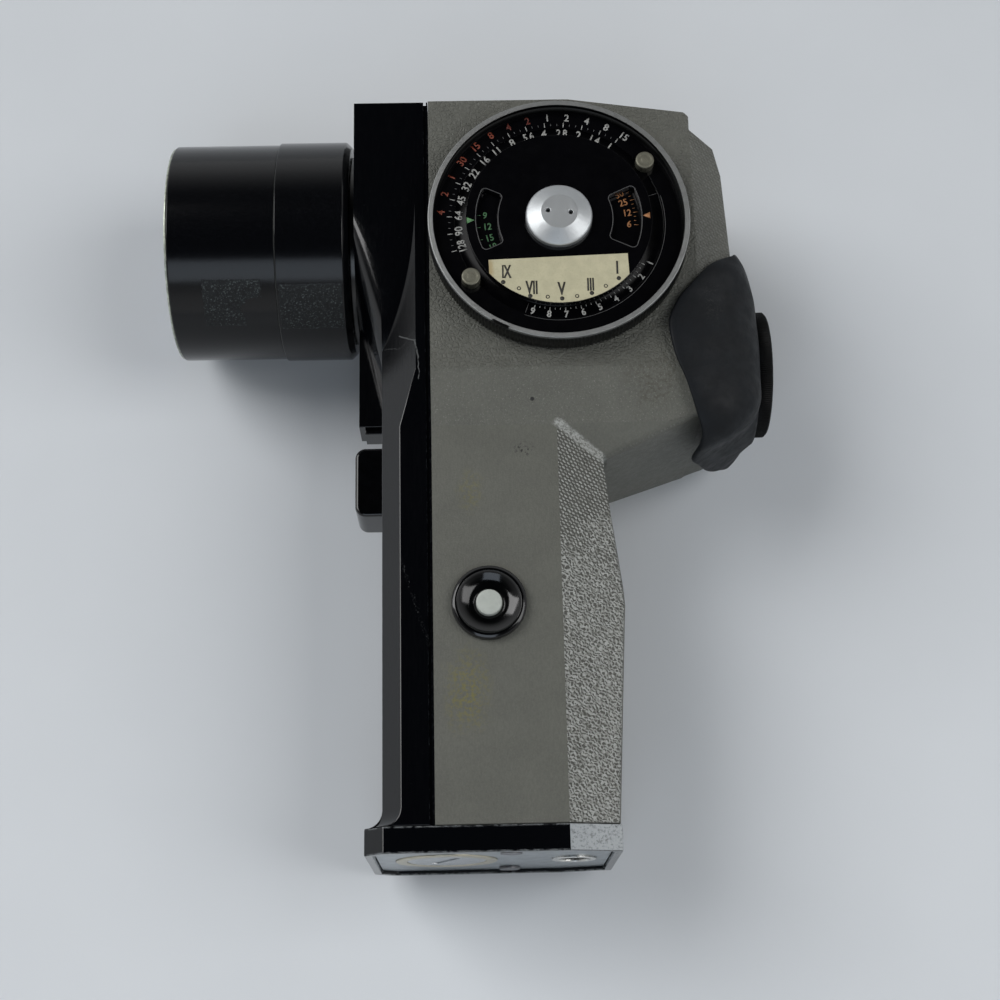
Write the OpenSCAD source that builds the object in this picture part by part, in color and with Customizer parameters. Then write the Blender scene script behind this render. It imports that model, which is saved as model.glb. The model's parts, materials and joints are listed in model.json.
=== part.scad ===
// Reflex spot meter with a pistol grip, lying on its right side.
// Inside this file x runs back along the lens axis from the front of the lens housing,
// y runs up from the lens axis, and z runs from the middle plane towards the dial side.
// placed() moves all of it so that the origin is the centre of the part's footprint.

/* [Head] */
// Thickness across the two side faces of the head
head_thick = 48.5; // [48.5:0.1:52]
// Height of the flat top above the lens axis
head_top = 23.8; // [23.8:0.1:27]
// Distance from the housing's front to the start of the sloping top
top_flat = 46; // [40:0.5:60]
// Distance from the housing's front to the rear face
rear_len = 79.6; // [78.5:0.1:82]
// Length of the tapering rear, from the side faces' edge to the rear face
rear_taper = 7.7; // [7.4:0.1:8.4]
// Height of the side faces' rear corner above the lens axis
corner_up = 19.2; // [17.5:0.1:22]
// Thickness of the head at its rear face
rear_thick = 40; // [36:0.5:44]
// Distance below the lens axis where the sloping band starts
band_top = 38.4; // [37:0.1:41]
// Distance below the lens axis where the sloping band ends
band_end = 49.6; // [48.5:0.1:52]
// Wall of the two side covers
wall = 2; // [1.6:0.1:2.4]

/* [Grip] */
// Thickness across the two side faces of the grip
grip_thick = 41.5; // [40.5:0.1:43.5]
// Distance from the housing's front to the front of the grip
grip_front = 5.6; // [5:0.1:6.2]
// Width of the slanted edges at the front of the grip
grip_bevel = 3.8; // [3.4:0.1:4.2]
// Distance from the housing's front to the rear edge of the grip's flat side
grip_flat = 41.6; // [40:0.1:43]
// Distance from the housing's front to the fullest point of the grip's rear
grip_rear = 54.4; // [53.4:0.1:55.5]
// Thickness of the grip at its fullest rear point
grip_rear_thick = 33.6; // [31:0.1:35]
// Distance below the lens axis of the grip's fullest point
swell_down = 87; // [80:0.5:95]
// Distance below the lens axis of the grip's lower end
grip_end = 130.6; // [129.6:0.1:134]
// Distance from the housing's front to the joint between the black frame and the covers
frame_len = 15.9; // [15.5:0.1:16.4]

/* [Base] */
// Height of the black foot under the grip
base_h = 5.2; // [4.8:0.1:6]
// How far the foot stands forward of the grip
foot_out = 3.5; // [3:0.1:4]
// Depth of the bottom plate below the foot's rim
plate_recess = 0.8; // [0.6:0.1:1]
// Radius of the battery cover
battery_cover_r = 7.9; // [7.6:0.1:8.1]
// Radius of one battery cell
cell_r = 7.7; // [7:0.1:7.8]
// Radius of the tripod thread
tripod_r = 3.2; // [3.1:0.05:3.3]

/* [Barrel] */
// Radius of the rear section of the lens barrel
barrel_rear_r = 24.1; // [24:0.05:24.2]
// Step in radius from the rear section down to the front section
barrel_step = 0.4; // [0.2:0.05:0.6]
// Length of the front section
barrel_front_len = 22.8; // [21:0.1:26]
// Length of the rear section
barrel_rear_len = 15.7; // [14.5:0.1:17]
// Length of the neck that shows behind the barrel
neck_len = 1.2; // [1:0.1:1.6]
// Radius of the neck
neck_r = 20.8; // [20.2:0.1:21.2]
// Radius of the filter thread at the barrel's mouth
filter_r = 21.5; // [21.3:0.1:21.8]
// Depth of the filter thread
filter_depth = 3.2; // [2.6:0.1:4]
// Radius of the front lens
front_lens_r = 20.8; // [19.8:0.1:20.9]
// Radius of the rear lens
rear_lens_r = 15.4; // [14.6:0.1:15.8]

/* [Trigger] */
// Distance of the trigger's middle below the lens axis
trigger_down = 56.6; // [56.2:0.1:58]
// Length of the trigger along the grip
trigger_len = 15.1; // [14:0.1:15.6]
// Width of the trigger across the grip
trigger_w = 12.7; // [12:0.1:13.4]
// How far the trigger stands out of the grip
trigger_out = 6.3; // [5.6:0.1:6.8]
// Travel of the trigger
trigger_travel = 2.5; // [2:0.1:3]
// Width of the rib above the trigger
rib_w = 9; // [8:0.1:10]
// Distance below the lens axis of the rib's lower end
rib_end = 44.8; // [44:0.1:46]

/* [Check button] */
// Distance from the housing's front to the check button
check_x = 27; // [26.6:0.1:28]
// Distance of the check button below the lens axis
check_down = 87.3; // [84:0.1:90]
// Radius of the guard ring round the button
guard_r = 7.5; // [7:0.1:8]
// Radius of the check button
check_r = 2.6; // [2.4:0.1:2.8]
// Travel of the check button
check_travel = 1.2; // [1:0.1:1.4]

/* [Dial] */
// Distance from the housing's front to the dial's centre
dial_x = 43; // [43:0.1:44]
// Distance of the dial's centre below the lens axis
dial_down = 7.5; // [6.5:0.1:8.5]
// Radius of the dial's silver bezel
bezel_r = 27.2; // [27:0.05:27.4]
// Radius of the opening inside the bezel
bezel_in_r = 26.05; // [25.9:0.05:26.2]
// Height of the bezel's rim above the cover
dial_h = 6.2; // [5.8:0.1:6.8]
// Height of the hub above the middle plate
hub_h = 2.9; // [2.2:0.1:3.4]
// Radius of the middle plate
plate_r = 19.35; // [19:0.05:19.7]
// Height of the middle plate above the scale ring
plate_rise = 1.9; // [1.5:0.1:2.1]
// Radius of the rim with the aperture numbers, round the middle plate
disc_r = 21.75; // [21.4:0.05:21.8]
// Radius of the hub
hub_r = 6.9; // [6.5:0.1:7.3]
// Radius of the two dial pins
pin_r = 1.95; // [1.8:0.05:2]
// Distance of the dial pins from the dial's centre
pin_ring_r = 22.6; // [22.6:0.05:22.8]

/* [Eyepiece] */
// Distance of the eyepiece axis below the lens axis
eye_down = 31.4; // [31:0.1:32]
// Radius of the knurled focusing ring
focus_r = 13.7; // [13.2:0.1:14.2]
// Length of the knurled focusing ring
focus_len = 3.7; // [3.4:0.1:4.2]
// Length of the eyepiece tube behind the rear face
eye_tube_len = 6.8; // [6.6:0.1:7.2]
// Thickness of the rubber eyecup
cup_wall = 1; // [0.8:0.1:1.1]

/* [Hidden] */
$fn = 96;

// Shared clearances: parts that move past each other, parts that sit together, turned fits
run_gap = 0.3;
seat_gap = 0.1;
fit_gap = 0.05;

// Half thicknesses and the slopes of the slanted faces
head_z = head_thick / 2;
grip_z = grip_thick / 2;
rear_z = rear_thick / 2;
under_slope = 0.53;
grip_slope = (grip_z - grip_rear_thick / 2) / (grip_rear - grip_flat);

// Rear edge of the side faces
side_len = rear_len - rear_taper;

// Landmarks of the covers' outline: where the head's underside meets the grip and the rear face,
// how far the shoulder above the rear face steps down and forward, and the grip's waist and foot
under_grip = [grip_rear - 2.4, -band_end - 6.4];
under_rear_y = -eye_down - 13.6;
under_side_y = under_rear_y - 3;
shoulder = [[0, 3.3], [2.5, 6.5], [1, 12.6]];
rear_flat_y = -12;
waist_x = grip_rear - 3.4;
swell_len = 4;
foot_rear_x = grip_rear - 2.8;

// Foot
base_y = -grip_end - base_h;
foot_x = grip_front - foot_out;
foot_rim = 1.6;
plate_t = 1.2;
plate_top = base_y + plate_recess + plate_t;

// Front frame
frame_wall = 2.5;
frame_end = frame_len - seat_gap;
front_z = grip_z - grip_bevel;
groove_w = 0.6;
groove_depth = 0.5;
rib_step = 1.2;
boss_front_h = 21;
boss_rear_h = 44;
frame_top = head_top - 0.4;

// Barrel
barrel_end_x = -neck_len;
barrel_joint_x = barrel_end_x - barrel_rear_len;
barrel_mouth_x = barrel_joint_x - barrel_front_len;
rim_out = 0.5;
rim_w = 1.4;
barrel_wall = 2.3;
barrel_front_r = barrel_rear_r - barrel_step;
barrel_bore_r = barrel_front_r - barrel_wall;
spigot_len = 3;
retainer_t = 1.8;
lens_edge = 3;
lens_bulge = 1.2;
lens_lip = 0.8;
mount_wall = 2.4;
mount_bore_r = rear_lens_r + seat_gap;
mount_r = mount_bore_r + mount_wall;
mount_back_x = grip_front + frame_wall;
mount_reach = 9;

// Eyepiece
eye_tube_r = 11;
eye_bore_r = 9.2;
eye_tube_in = 13;
flange_r = 14.2;
flange_t = 2;
focus_x = rear_len + eye_tube_len - 1.8;
eye_end_x = focus_x + focus_len;
focus_lip = 1.6;
focus_bore_r = eye_bore_r - 0.8;
ocular_in = 5;
ocular_len = 9;
ocular_wall = 1.05;
ocular_edge = 2;
ocular_bulge = 0.8;

// Mirrors, screen, photocell and meter movement
magnet_r = 7.4;
magnet_h = 6.6;
magnet_wall = 1.8;
movement_x = rear_len - eye_tube_in - 1 - magnet_r;
box_z = 13;
box_wall = 1.6;
box_front_x = mount_back_x + seat_gap;
box_end_x = movement_x - magnet_r - 0.8;
box_mouth_r = 10.5;
mirror_len = 29;
mirror_t = 1.2;
mirror_half = (mirror_len + mirror_t) * cos(45) / 2;
mirror_x = (box_front_x + box_end_x) / 2 - 1;
box_top = mirror_half + run_gap + box_wall;
box_low = -eye_down - box_top;
screen_y = -eye_down / 2;
screen_t = 1.2;
screen_lip = 3.8;
cell_r_in = 5;
cell_len = 7;
holder_len = 13;
holder_wall = 2;
holder_cap = 1;
pointer_y = screen_y + screen_t / 2 + run_gap + 0.8;
pointer_len = 20;
pointer_half = 0.3;
pointer_slot_z = 9;
pointer_slot_half = 1;
staff_len = 3.1;
weight_x = 5.5;
weight_len = 4;
weight_h = 1.8;
weight_w = 2.2;
coil_h = 4.4;
coil_half = 4.6;
coil_leg = 1.1;
bridge_t = 1;
bridge_w = 3;
bracket_t = 1.2;
bracket_z = 9;
bracket_up = 3;
coil_y = pointer_y - staff_len - coil_h;
magnet_y = coil_y - 0.8;
pivot_r = 0.5;

// Battery, tripod bush and circuit board
collar_w = 2.3;
collar_rise = 0.5;
cover_rise = 0.6;
coin_slot_w = 1.8;
coin_slot_d = 0.8;
coin_slot_edge = 2.5;
coin_slot_turn = 29;
cell_gap = 0.2;
cell_step = 0.7;
cell_rim = 2;
tube_wall = 1.4;
tube_low = 0.7;
contact_r = 4;
contact_wire = 0.6;
battery_x = grip_front + 12;
cell_h = 6.1;
cell_count = 3;
cells_y = base_y + 2.9;
cells_top = cells_y + cell_count * cell_h;
spring_room = 2;
tripod_x = grip_rear - 11.2;
tripod_wall = 1.3;
tripod_depth = 9.1;
tripod_end = 1.5;
foot_screw_z = 14;
plate_head_r = 2.2;
plate_head_h = 0.6;
foot_screws = [for (s = [-1, 1]) [(battery_x + tripod_x) / 2, foot_screw_z * s]];
board_z = 9;
board_t = 1.6;
board_inset = 2.5;
board_edge = 1.2;
board_post_r = 2;
capacitor_r = 3.5;
capacitor_h = 8;
trimmer_r = 4;
trimmer_h = 4;
can_side = 7;
can_h = 5;
can_pitch = 11;
board_low = cells_top + spring_room + 6;
board_high = -check_down + 13.3;
board_posts = [
    [frame_len + 6, board_high - 5],
    [grip_flat - 3, board_low + 3],
    [grip_flat + 2, board_high - 5]
];

// Trigger and check button
trigger_back_x = grip_front + frame_wall + run_gap;
trigger_lip = 1.2;
trigger_lip_t = 1;
trigger_round = 2.2;
trigger_stem = 3;
trigger_stem_r = 2.4;
trigger_spring_r = 3.2;
spring_wire = 0.5;
switch_len = 6;
switch_up = 5;
switch_low = 8;
switch_z = 7;
switch_bar_t = 1.5;
switch_bar_half = 4;
plunger_r = 1.5;
plunger_len = 4;
guard_h = 1.8;
guard_step = 2;
guard_sleeve = 1;
guard_round = 0.8;
dish_floor = 0.2;
dish_w = 1.8;
check_out = 1.5;
check_flange = 1.3;
check_flange_r = check_r + 0.9;
check_low = grip_z - wall - guard_sleeve - run_gap - check_flange;
check_spring_r = 2.2;
stud_r = 1.2;

// Dial, from the cover's face up
dial_face = head_z + seat_gap;
dial_base_t = 1;
dial_seat_r = 8;
disc_top = dial_face + dial_h - 0.6;
disc_t = 1.2;
ring_top = disc_top - plate_rise;
ring_t = 0.9;
rim_step = 0.1;
stack_gap = 0.02;
film_t = 0.8;
film_z = ring_top - ring_t - run_gap - film_t;
film_step_r = plate_r - 1.35;
bezel_h = 0.9;
bezel_z = dial_face + dial_h - bezel_h;
bezel_edge = 0.4;
ring_bore_r = bezel_in_r;
post_r = 3;
post_up = 0.5;
pin_h = 2.1;
pin_shank_r = 0.5;
pin_angles = [35.3, 215.3];
// Film speed windows: angle and inner radius
windows = [[0, 11.4], [180, 12.8]];
window_out = 17.1;
window_half = 8.8;
card_left = 15.1;
card_right = 13.6;
card_drop = 2.05;
card_turn = 2;
card_t = 0.2;
card_rim = 0.1;
hub_top_r = 3.8;
hub_edge = 1.2;
hub_lip = 0.4;
hub_seat = 0.6;
key_hole_r = 0.45;
key_hole_x = 2.35;
key_hole_turn = -6;

// Long screws that join the covers
boss_places = [
    [frame_len + 5.6, head_top - 5.8],
    [side_len - 7.9, corner_up - 5.2],
    [frame_len + 8.6, -trigger_down - 9.4],
    [grip_rear - 7.9, -grip_end + 13.6]
];
boss_r = 3;
screw_r = 1.2;
screw_head_r = 2.3;
screw_head_h = 1.7;
screw_slot_w = 0.7;
screw_seat = 0.4;
screw_end = 11;

// Moves the model so that the origin is the centre of its footprint
module placed() {
    top = max(head_top, barrel_rear_r);
    translate([-(barrel_mouth_x - rim_out + eye_end_x) / 2, -(top + base_y) / 2, head_z]) children();
}

// A cylinder along x, from x0 to x1
module along_x(x0, x1, r, y = 0, z = 0) {
    translate([x0, y, z]) rotate([0, 90, 0]) cylinder(h = x1 - x0, r = r);
}

// A cylinder along y, from y0 up to y1
module along_y(y0, y1, r, x = 0, z = 0) {
    translate([x, y0, z]) rotate([-90, 0, 0]) cylinder(h = y1 - y0, r = r);
}

// A cylinder along z, from z0 to z1
module along_z(z0, z1, r, x = 0, y = 0) {
    translate([x, y, z0]) cylinder(h = z1 - z0, r = r);
}

// A tube along x
module tube_x(x0, x1, r_out, r_in, y = 0, z = 0) {
    difference() {
        along_x(x0, x1, r_out, y, z);
        along_x(x0 - 1, x1 + 1, r_in, y, z);
    }
}

// A tube along z
module tube_z(z0, z1, r_out, r_in, x = 0, y = 0) {
    difference() {
        along_z(z0, z1, r_out, x, y);
        along_z(z0 - 1, z1 + 1, r_in, x, y);
    }
}

// A box given by its lowest and highest corners
module box(low, high) {
    translate(low) cube(high - low);
}

// An outline in x and z, swept along y from y0 up to y1
module sweep_y(y0, y1, points) {
    translate([0, y1, 0]) rotate([90, 0, 0]) linear_extrude(y1 - y0) polygon(points);
}

// An outline in y and z, swept along x from x0 to x1
module sweep_x(x0, x1, points) {
    translate([x0, 0, 0]) rotate([90, 0, 90]) linear_extrude(x1 - x0) polygon(points);
}

// An outline and its mirror image below the middle plane, as one closed outline
function both(points) = concat(points, [
    for (i = [len(points) - 1:-1:0]) [points[i][0], -points[i][1]]
]);

// Moves its children to the dial's centre and turns them by an angle
module at_dial(angle = 0) {
    translate([dial_x, -dial_down, 0]) rotate([0, 0, angle]) children();
}

function mix(a, b, s) = a + (b - a) * s;

// Points round a coil spring of round wire that stands on z = 0
module coil_spring(r, wire_r, height, turns) {
    sides = 6;
    steps = 12 * turns;
    rise = height - 2 * wire_r;
    ring = function(i) let (a = 360 * turns * i / steps, h = wire_r + rise * i / steps) [
        for (k = [0:sides - 1]) let (b = 360 * k / sides, q = r + wire_r * cos(b))
            [q * cos(a), q * sin(a), h + wire_r * sin(b)]
    ];
    points = [for (i = [0:steps]) each ring(i)];
    skin = [for (i = [0:steps - 1]) for (k = [0:sides - 1])
        let (p = i * sides, n = (k + 1) % sides) each [
            [p + k, p + n, p + sides + k],
            [p + n, p + sides + n, p + sides + k]
        ]
    ];
    ends = [for (k = [1:sides - 2]) each [
        [0, k + 1, k],
        [steps * sides, steps * sides + k, steps * sides + k + 1]
    ]];
    polyhedron(points, concat(skin, ends));
}

// Half outline of the covers across the part, in y and z, drawn in by t
function side_profile(t) = [
    [head_top - t, 0],
    [head_top - t, head_z - t],
    [-band_top, head_z - t],
    [-band_end, grip_z - t],
    [under_grip[1] - 4, grip_z - t - under_slope * (4 - under_grip[1] - band_end)],
    [under_grip[1] - 4, 0]
];

// The head above the middle plane, drawn in by t and reaching forward past the joint by ahead
module head_half(t, ahead = 0) {
    x0 = frame_len - ahead;
    intersection() {
        sweep_x(x0, rear_len, side_profile(t));
        union() {
            linear_extrude(head_z) polygon([
                [x0, head_top - t],
                [top_flat, head_top - t],
                [side_len - 1 - t, corner_up + 1 - t],
                [side_len - t, corner_up - t],
                [side_len - t, under_side_y + t],
                [under_grip[0] - t, under_grip[1] + t],
                [x0, under_grip[1] + t]
            ]);
            intersection() {
                linear_extrude(head_z) polygon([
                    [side_len - t - 1, corner_up - shoulder[0][1] - t],
                    [side_len - t, corner_up - shoulder[0][1] - t],
                    [rear_len - shoulder[1][0] - t, corner_up - shoulder[1][1] - t],
                    [rear_len - shoulder[2][0] - t, corner_up - shoulder[2][1] - t],
                    [rear_len - t, rear_flat_y],
                    [rear_len - t, under_rear_y + t],
                    [side_len - t - 1, under_side_y + t]
                ]);
                sweep_y(under_grip[1], head_top, [
                    [side_len - t - 1, 0],
                    [side_len - t - 1, head_z - t],
                    [side_len - t, head_z - t],
                    [rear_len - t, rear_z - t],
                    [rear_len - t, 0]
                ]);
            }
        }
    }
}

// The grip above the middle plane, drawn in by t and reaching past its open ends by ahead
module grip_half(t, ahead = 0) {
    x0 = frame_len - ahead;
    y0 = -grip_end - ahead;
    x1 = grip_rear + 2;
    intersection() {
        sweep_y(y0, -band_end + 2, [
            [x0, 0],
            [x0, grip_z - t],
            [grip_flat, grip_z - t],
            [x1, grip_z - t - grip_slope * (x1 - grip_flat)],
            [x1, 0]
        ]);
        linear_extrude(head_z) polygon([
            [x0, -band_end + 2],
            [waist_x - t, -band_end + 2],
            [waist_x - t, under_grip[1] - 2.5],
            [grip_rear - 0.3 - t, -swell_down + swell_len],
            [grip_rear - t, -swell_down],
            [grip_rear - 0.3 - t, -swell_down - swell_len],
            [foot_rear_x - t, y0],
            [x0, y0]
        ]);
    }
}

// Height of the covers' inner face above the middle plane at a place p
function inner_z(p) = p[1] > -band_top
    ? head_z - wall
    : grip_z - wall - grip_slope * max(0, p[0] - grip_flat);

// One hollow side cover above the middle plane, with its four bosses
module cover_half() {
    difference() {
        union() {
            head_half(0);
            grip_half(0);
        }
        head_half(wall, 1);
        grip_half(wall, 1);
        along_x(rear_len - 2 * wall, rear_len + 1, eye_tube_r + fit_gap, -eye_down);
    }
    for (p = boss_places) along_z(fit_gap, inner_z(p) + wall / 4, boss_r, p[0], p[1]);
}

module left_cover() {
    board_top = board_z + board_t;
    color([0.36, 0.355, 0.325]) difference() {
        union() {
            cover_half();
            for (p = board_posts) {
                along_z(board_top + fit_gap, inner_z(p) + wall / 4, board_post_r, p[0], p[1]);
            }
        }
        for (p = boss_places) along_z(-1, screw_end + 1, screw_r + fit_gap, p[0], p[1]);
        along_z(head_z - 2 * wall, head_z + 1, post_r + fit_gap, dial_x, -dial_down);
        along_z(grip_z - 2 * wall, grip_z + 1, guard_r - guard_step + fit_gap, check_x, -check_down);
    }
}

module right_cover() {
    color([0.36, 0.355, 0.325]) difference() {
        mirror([0, 0, 1]) cover_half();
        for (p = boss_places) {
            along_z(-head_z - 1, 1, screw_r + seat_gap, p[0], p[1]);
            along_z(-head_z - 1, screw_seat - inner_z(p), screw_head_r + seat_gap, p[0], p[1]);
        }
    }
}

// Four long screws, put in from the right side
module cover_screws() {
    color([0.25, 0.25, 0.26]) for (p = boss_places) {
        seat = screw_seat - inner_z(p);
        difference() {
            union() {
                along_z(seat - screw_head_h, seat, screw_head_r, p[0], p[1]);
                along_z(seat, screw_end, screw_r, p[0], p[1]);
            }
            translate([p[0], p[1], seat - screw_head_h]) {
                cube([2 * screw_head_r + 1, screw_slot_w, screw_head_h - 0.3], center = true);
            }
        }
    }
}

// Outline of the front frame across the part, in y and z, drawn in by t
function frame_profile(t) = both([
    [frame_top - t, head_z - t],
    [-band_top, head_z - t],
    [-band_end, grip_z - t],
    [-grip_end - 1, grip_z - t]
]);

// Outline of the front frame seen along the grip, with side faces at z1, drawn in by t
function bevel_outline(z1, t, x1) = both([
    [grip_front + t, front_z - t * (sqrt(2) - 1)],
    [grip_front + t + z1 - front_z + t * (sqrt(2) - 1), z1],
    [x1, z1]
]);

// Half oval below the lens axis, in y and z
function oval(h) = [for (a = [0:3:180]) [-h * sin(a), head_z * cos(a)]];

// Curved foot of the front wall, which runs out to the front of the base
function flare_points(scale) = let (r = foot_out) concat(
    [for (a = [0:15:90]) [grip_front - r * (1 - cos(a)) * scale, -grip_end + r * (1 - sin(a))]],
    [[grip_front + 1, -grip_end], [grip_front + 1, -grip_end + r]]
);

module flare() {
    translate([0, 0, -front_z]) linear_extrude(2 * front_z) polygon(flare_points(1));
    for (s = [-1, 1]) translate([grip_front, 0, s * front_z]) rotate([0, s * 45, 0]) {
        mirror([0, 0, s > 0 ? 0 : 1]) linear_extrude(grip_bevel * sqrt(2)) {
            polygon([for (p = flare_points(cos(45))) [p[0] - grip_front, p[1]]]);
        }
    }
}

module front_frame() {
    bevel_end = grip_front + head_z - front_z;
    y_low = -trigger_down - trigger_len / 2 - run_gap;
    y_high = -trigger_down + trigger_len / 2 + run_gap;
    z_out = trigger_w / 2 + run_gap;
    color([0.035, 0.035, 0.04]) difference() {
        union() {
            box([0, -1, -head_z], [frame_end, frame_top, head_z]);
            hull() {
                sweep_x(0, 0.1, oval(boss_front_h));
                sweep_x(grip_front, bevel_end + 0.5, oval(boss_rear_h));
            }
            intersection() {
                sweep_x(0, frame_end, frame_profile(0));
                sweep_y(-grip_end, 0, bevel_outline(head_z, 0, frame_end));
            }
            intersection() {
                flare();
                sweep_x(0, frame_end, frame_profile(0));
            }
            box([0, -rib_end + rib_step, -rib_w / 2], [grip_front + 1, -1, rib_w / 2]);
            box([rib_step, -rib_end, -rib_w / 2 + rib_step],
                [grip_front + 1, -1, rib_w / 2 - rib_step]);
        }
        box([frame_wall, -1, -head_z + frame_wall],
            [frame_len + 1, frame_top - frame_wall, head_z - frame_wall]);
        sweep_y(-band_top, 0, bevel_outline(head_z - frame_wall, frame_wall, frame_len + 1));
        sweep_y(-grip_end - 1, -band_top + 1,
            bevel_outline(grip_z - frame_wall, frame_wall, frame_len + 1));
        along_x(-1, frame_len + 1, mount_r + seat_gap);
        box([grip_front - 1, y_low, -z_out], [grip_front + frame_wall + 1, y_high, z_out]);
        difference() {
            sweep_x(frame_end - groove_w - 0.3, frame_end - 0.3, frame_profile(-1));
            sweep_x(0, frame_len, frame_profile(groove_depth));
        }
    }
}

// Outline of the foot seen along the grip, drawn in by t
function foot_outline(t) = let (x1 = foot_rear_x + 0.3) both([
    [foot_x + t, front_z - t * (sqrt(2) - 1)],
    [foot_x + grip_bevel + t * (2 - sqrt(2)), grip_z - t],
    [grip_flat, grip_z - t],
    [x1 - t, grip_z - t - grip_slope * (x1 - t - grip_flat)]
]);

module base_foot() {
    top = -grip_end - seat_gap;
    color([0.035, 0.035, 0.04]) difference() {
        sweep_y(base_y, top, foot_outline(0));
        sweep_y(base_y - 1, plate_top + fit_gap, foot_outline(foot_rim));
        along_y(base_y, top + 1, cell_r + cell_gap + tube_wall + fit_gap, battery_x);
        along_y(base_y, top + 1, tripod_r + tripod_wall + fit_gap, tripod_x);
        for (p = foot_screws) along_y(base_y, top + 1, screw_r + fit_gap, p[0], p[1]);
    }
}

module base_plate() {
    color([0.62, 0.63, 0.64]) difference() {
        sweep_y(base_y + plate_recess, plate_top, foot_outline(foot_rim + seat_gap));
        along_y(base_y, plate_top + 1, battery_cover_r + collar_w + fit_gap, battery_x);
        along_y(base_y, plate_top + 1, tripod_r + tripod_wall + fit_gap, tripod_x);
        for (p = foot_screws) along_y(base_y, plate_top + 1, screw_r + fit_gap, p[0], p[1]);
    }
}

// Two screws that hold the bottom plate to the foot
module base_screws() {
    plate_y = base_y + plate_recess;
    color([0.1, 0.1, 0.1]) for (p = foot_screws) difference() {
        union() {
            along_y(plate_y - plate_head_h, plate_y, plate_head_r, p[0], p[1]);
            along_y(plate_y, -grip_end - run_gap, screw_r, p[0], p[1]);
        }
        translate([p[0], plate_y - plate_head_h, p[1]]) {
            cube([2 * plate_head_r + 1, plate_head_h, screw_slot_w], center = true);
        }
    }
}

module battery_collar() {
    color([0.55, 0.53, 0.46]) difference() {
        along_y(base_y + collar_rise, plate_top, battery_cover_r + collar_w, battery_x);
        along_y(base_y, plate_top + 1, battery_cover_r + fit_gap, battery_x);
    }
}

// Coin-slotted cover that closes the battery tube
module battery_cover() {
    y0 = base_y + cover_rise;
    slot_len = 2 * (battery_cover_r - coin_slot_edge);
    color([0.6, 0.61, 0.62]) difference() {
        along_y(y0, plate_top + tube_low - cell_gap, battery_cover_r, battery_x);
        translate([battery_x, y0, 0]) rotate([0, coin_slot_turn, 0]) {
            cube([coin_slot_w, 2 * coin_slot_d, slot_len], center = true);
        }
    }
}

module battery_cells() {
    color([0.72, 0.72, 0.7]) for (i = [0:cell_count - 1]) {
        y = cells_y + i * cell_h;
        along_y(y, y + cell_h - cell_step, cell_r, battery_x);
        along_y(y + cell_h - cell_step, y + cell_h, cell_r - cell_rim, battery_x);
    }
}

module battery_tube() {
    bore_r = cell_r + cell_gap;
    color([0.12, 0.12, 0.12]) difference() {
        along_y(plate_top + tube_low, cells_top + spring_room + tube_wall, bore_r + tube_wall, battery_x);
        along_y(base_y, cells_top + spring_room, bore_r, battery_x);
    }
}

module battery_spring() {
    color([0.8, 0.65, 0.3]) {
        translate([battery_x, cells_top + spring_room - fit_gap, 0]) rotate([90, 0, 0]) {
            coil_spring(contact_r, contact_wire / 2, spring_room - 2 * fit_gap, 2);
        }
    }
}

// Threaded bush for a tripod screw
module tripod_bush() {
    y0 = base_y + plate_recess / 2;
    color([0.75, 0.75, 0.74]) difference() {
        along_y(y0, y0 + tripod_depth + tripod_end, tripod_r + tripod_wall, tripod_x);
        along_y(y0 - 1, y0 + tripod_depth, tripod_r, tripod_x);
    }
}

// Neck and inner tube that carry the barrel and the rear lens
module lens_mount() {
    color([0.08, 0.08, 0.085]) difference() {
        union() {
            along_x(barrel_end_x - mount_reach, mount_back_x, mount_r);
            along_x(barrel_end_x, -seat_gap, neck_r);
        }
        along_x(barrel_end_x - mount_reach - 1, mount_back_x + 1, mount_bore_r);
    }
}

module barrel_rear() {
    chamfer = 1.3;
    wall_x = 3;
    color([0.03, 0.03, 0.032]) difference() {
        rotate([0, 90, 0]) rotate_extrude() polygon([
            [0, barrel_joint_x],
            [barrel_rear_r, barrel_joint_x],
            [barrel_rear_r, barrel_end_x - chamfer],
            [barrel_rear_r - chamfer, barrel_end_x - seat_gap],
            [0, barrel_end_x - seat_gap]
        ]);
        along_x(barrel_joint_x - 1, barrel_end_x - wall_x, barrel_bore_r);
        along_x(barrel_joint_x, barrel_end_x + 1, mount_r + fit_gap);
    }
}

module barrel_front() {
    seat_x = barrel_mouth_x + filter_depth + retainer_t + lens_edge + 0.2;
    color([0.03, 0.03, 0.032]) difference() {
        union() {
            along_x(barrel_mouth_x, barrel_joint_x - fit_gap, barrel_front_r);
            along_x(barrel_joint_x - 1, barrel_joint_x + spigot_len, barrel_bore_r - fit_gap);
        }
        along_x(barrel_mouth_x - 1, barrel_mouth_x + filter_depth, filter_r);
        along_x(barrel_mouth_x, seat_x, front_lens_r + seat_gap);
        along_x(barrel_mouth_x, barrel_joint_x + spigot_len + 1, front_lens_r - lens_lip);
    }
}

module rim_ring() {
    r = barrel_front_r - 0.3;
    color([0.5, 0.52, 0.47]) tube_x(barrel_mouth_x - rim_out, barrel_mouth_x, r, r - rim_w);
}

// Ring that holds the front lens in the barrel
module lens_retainer() {
    x0 = barrel_mouth_x + filter_depth;
    color([0.05, 0.05, 0.05]) {
        tube_x(x0, x0 + retainer_t, front_lens_r + seat_gap - fit_gap, front_lens_r - lens_lip);
    }
}

// A round lens with two bulging faces, whose straight edge starts at x0
module lens(x0, edge, r, bulge, y = 0) {
    steps = 8;
    sag = [for (i = [0:steps]) [r * i / steps, bulge * (1 - pow(i / steps, 2))]];
    translate([x0, y, 0]) rotate([0, 90, 0]) rotate_extrude() polygon(concat(
        [for (p = sag) [p[0], -p[1]]],
        [for (i = [steps:-1:0]) [sag[i][0], edge + sag[i][1]]]
    ));
}

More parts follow.
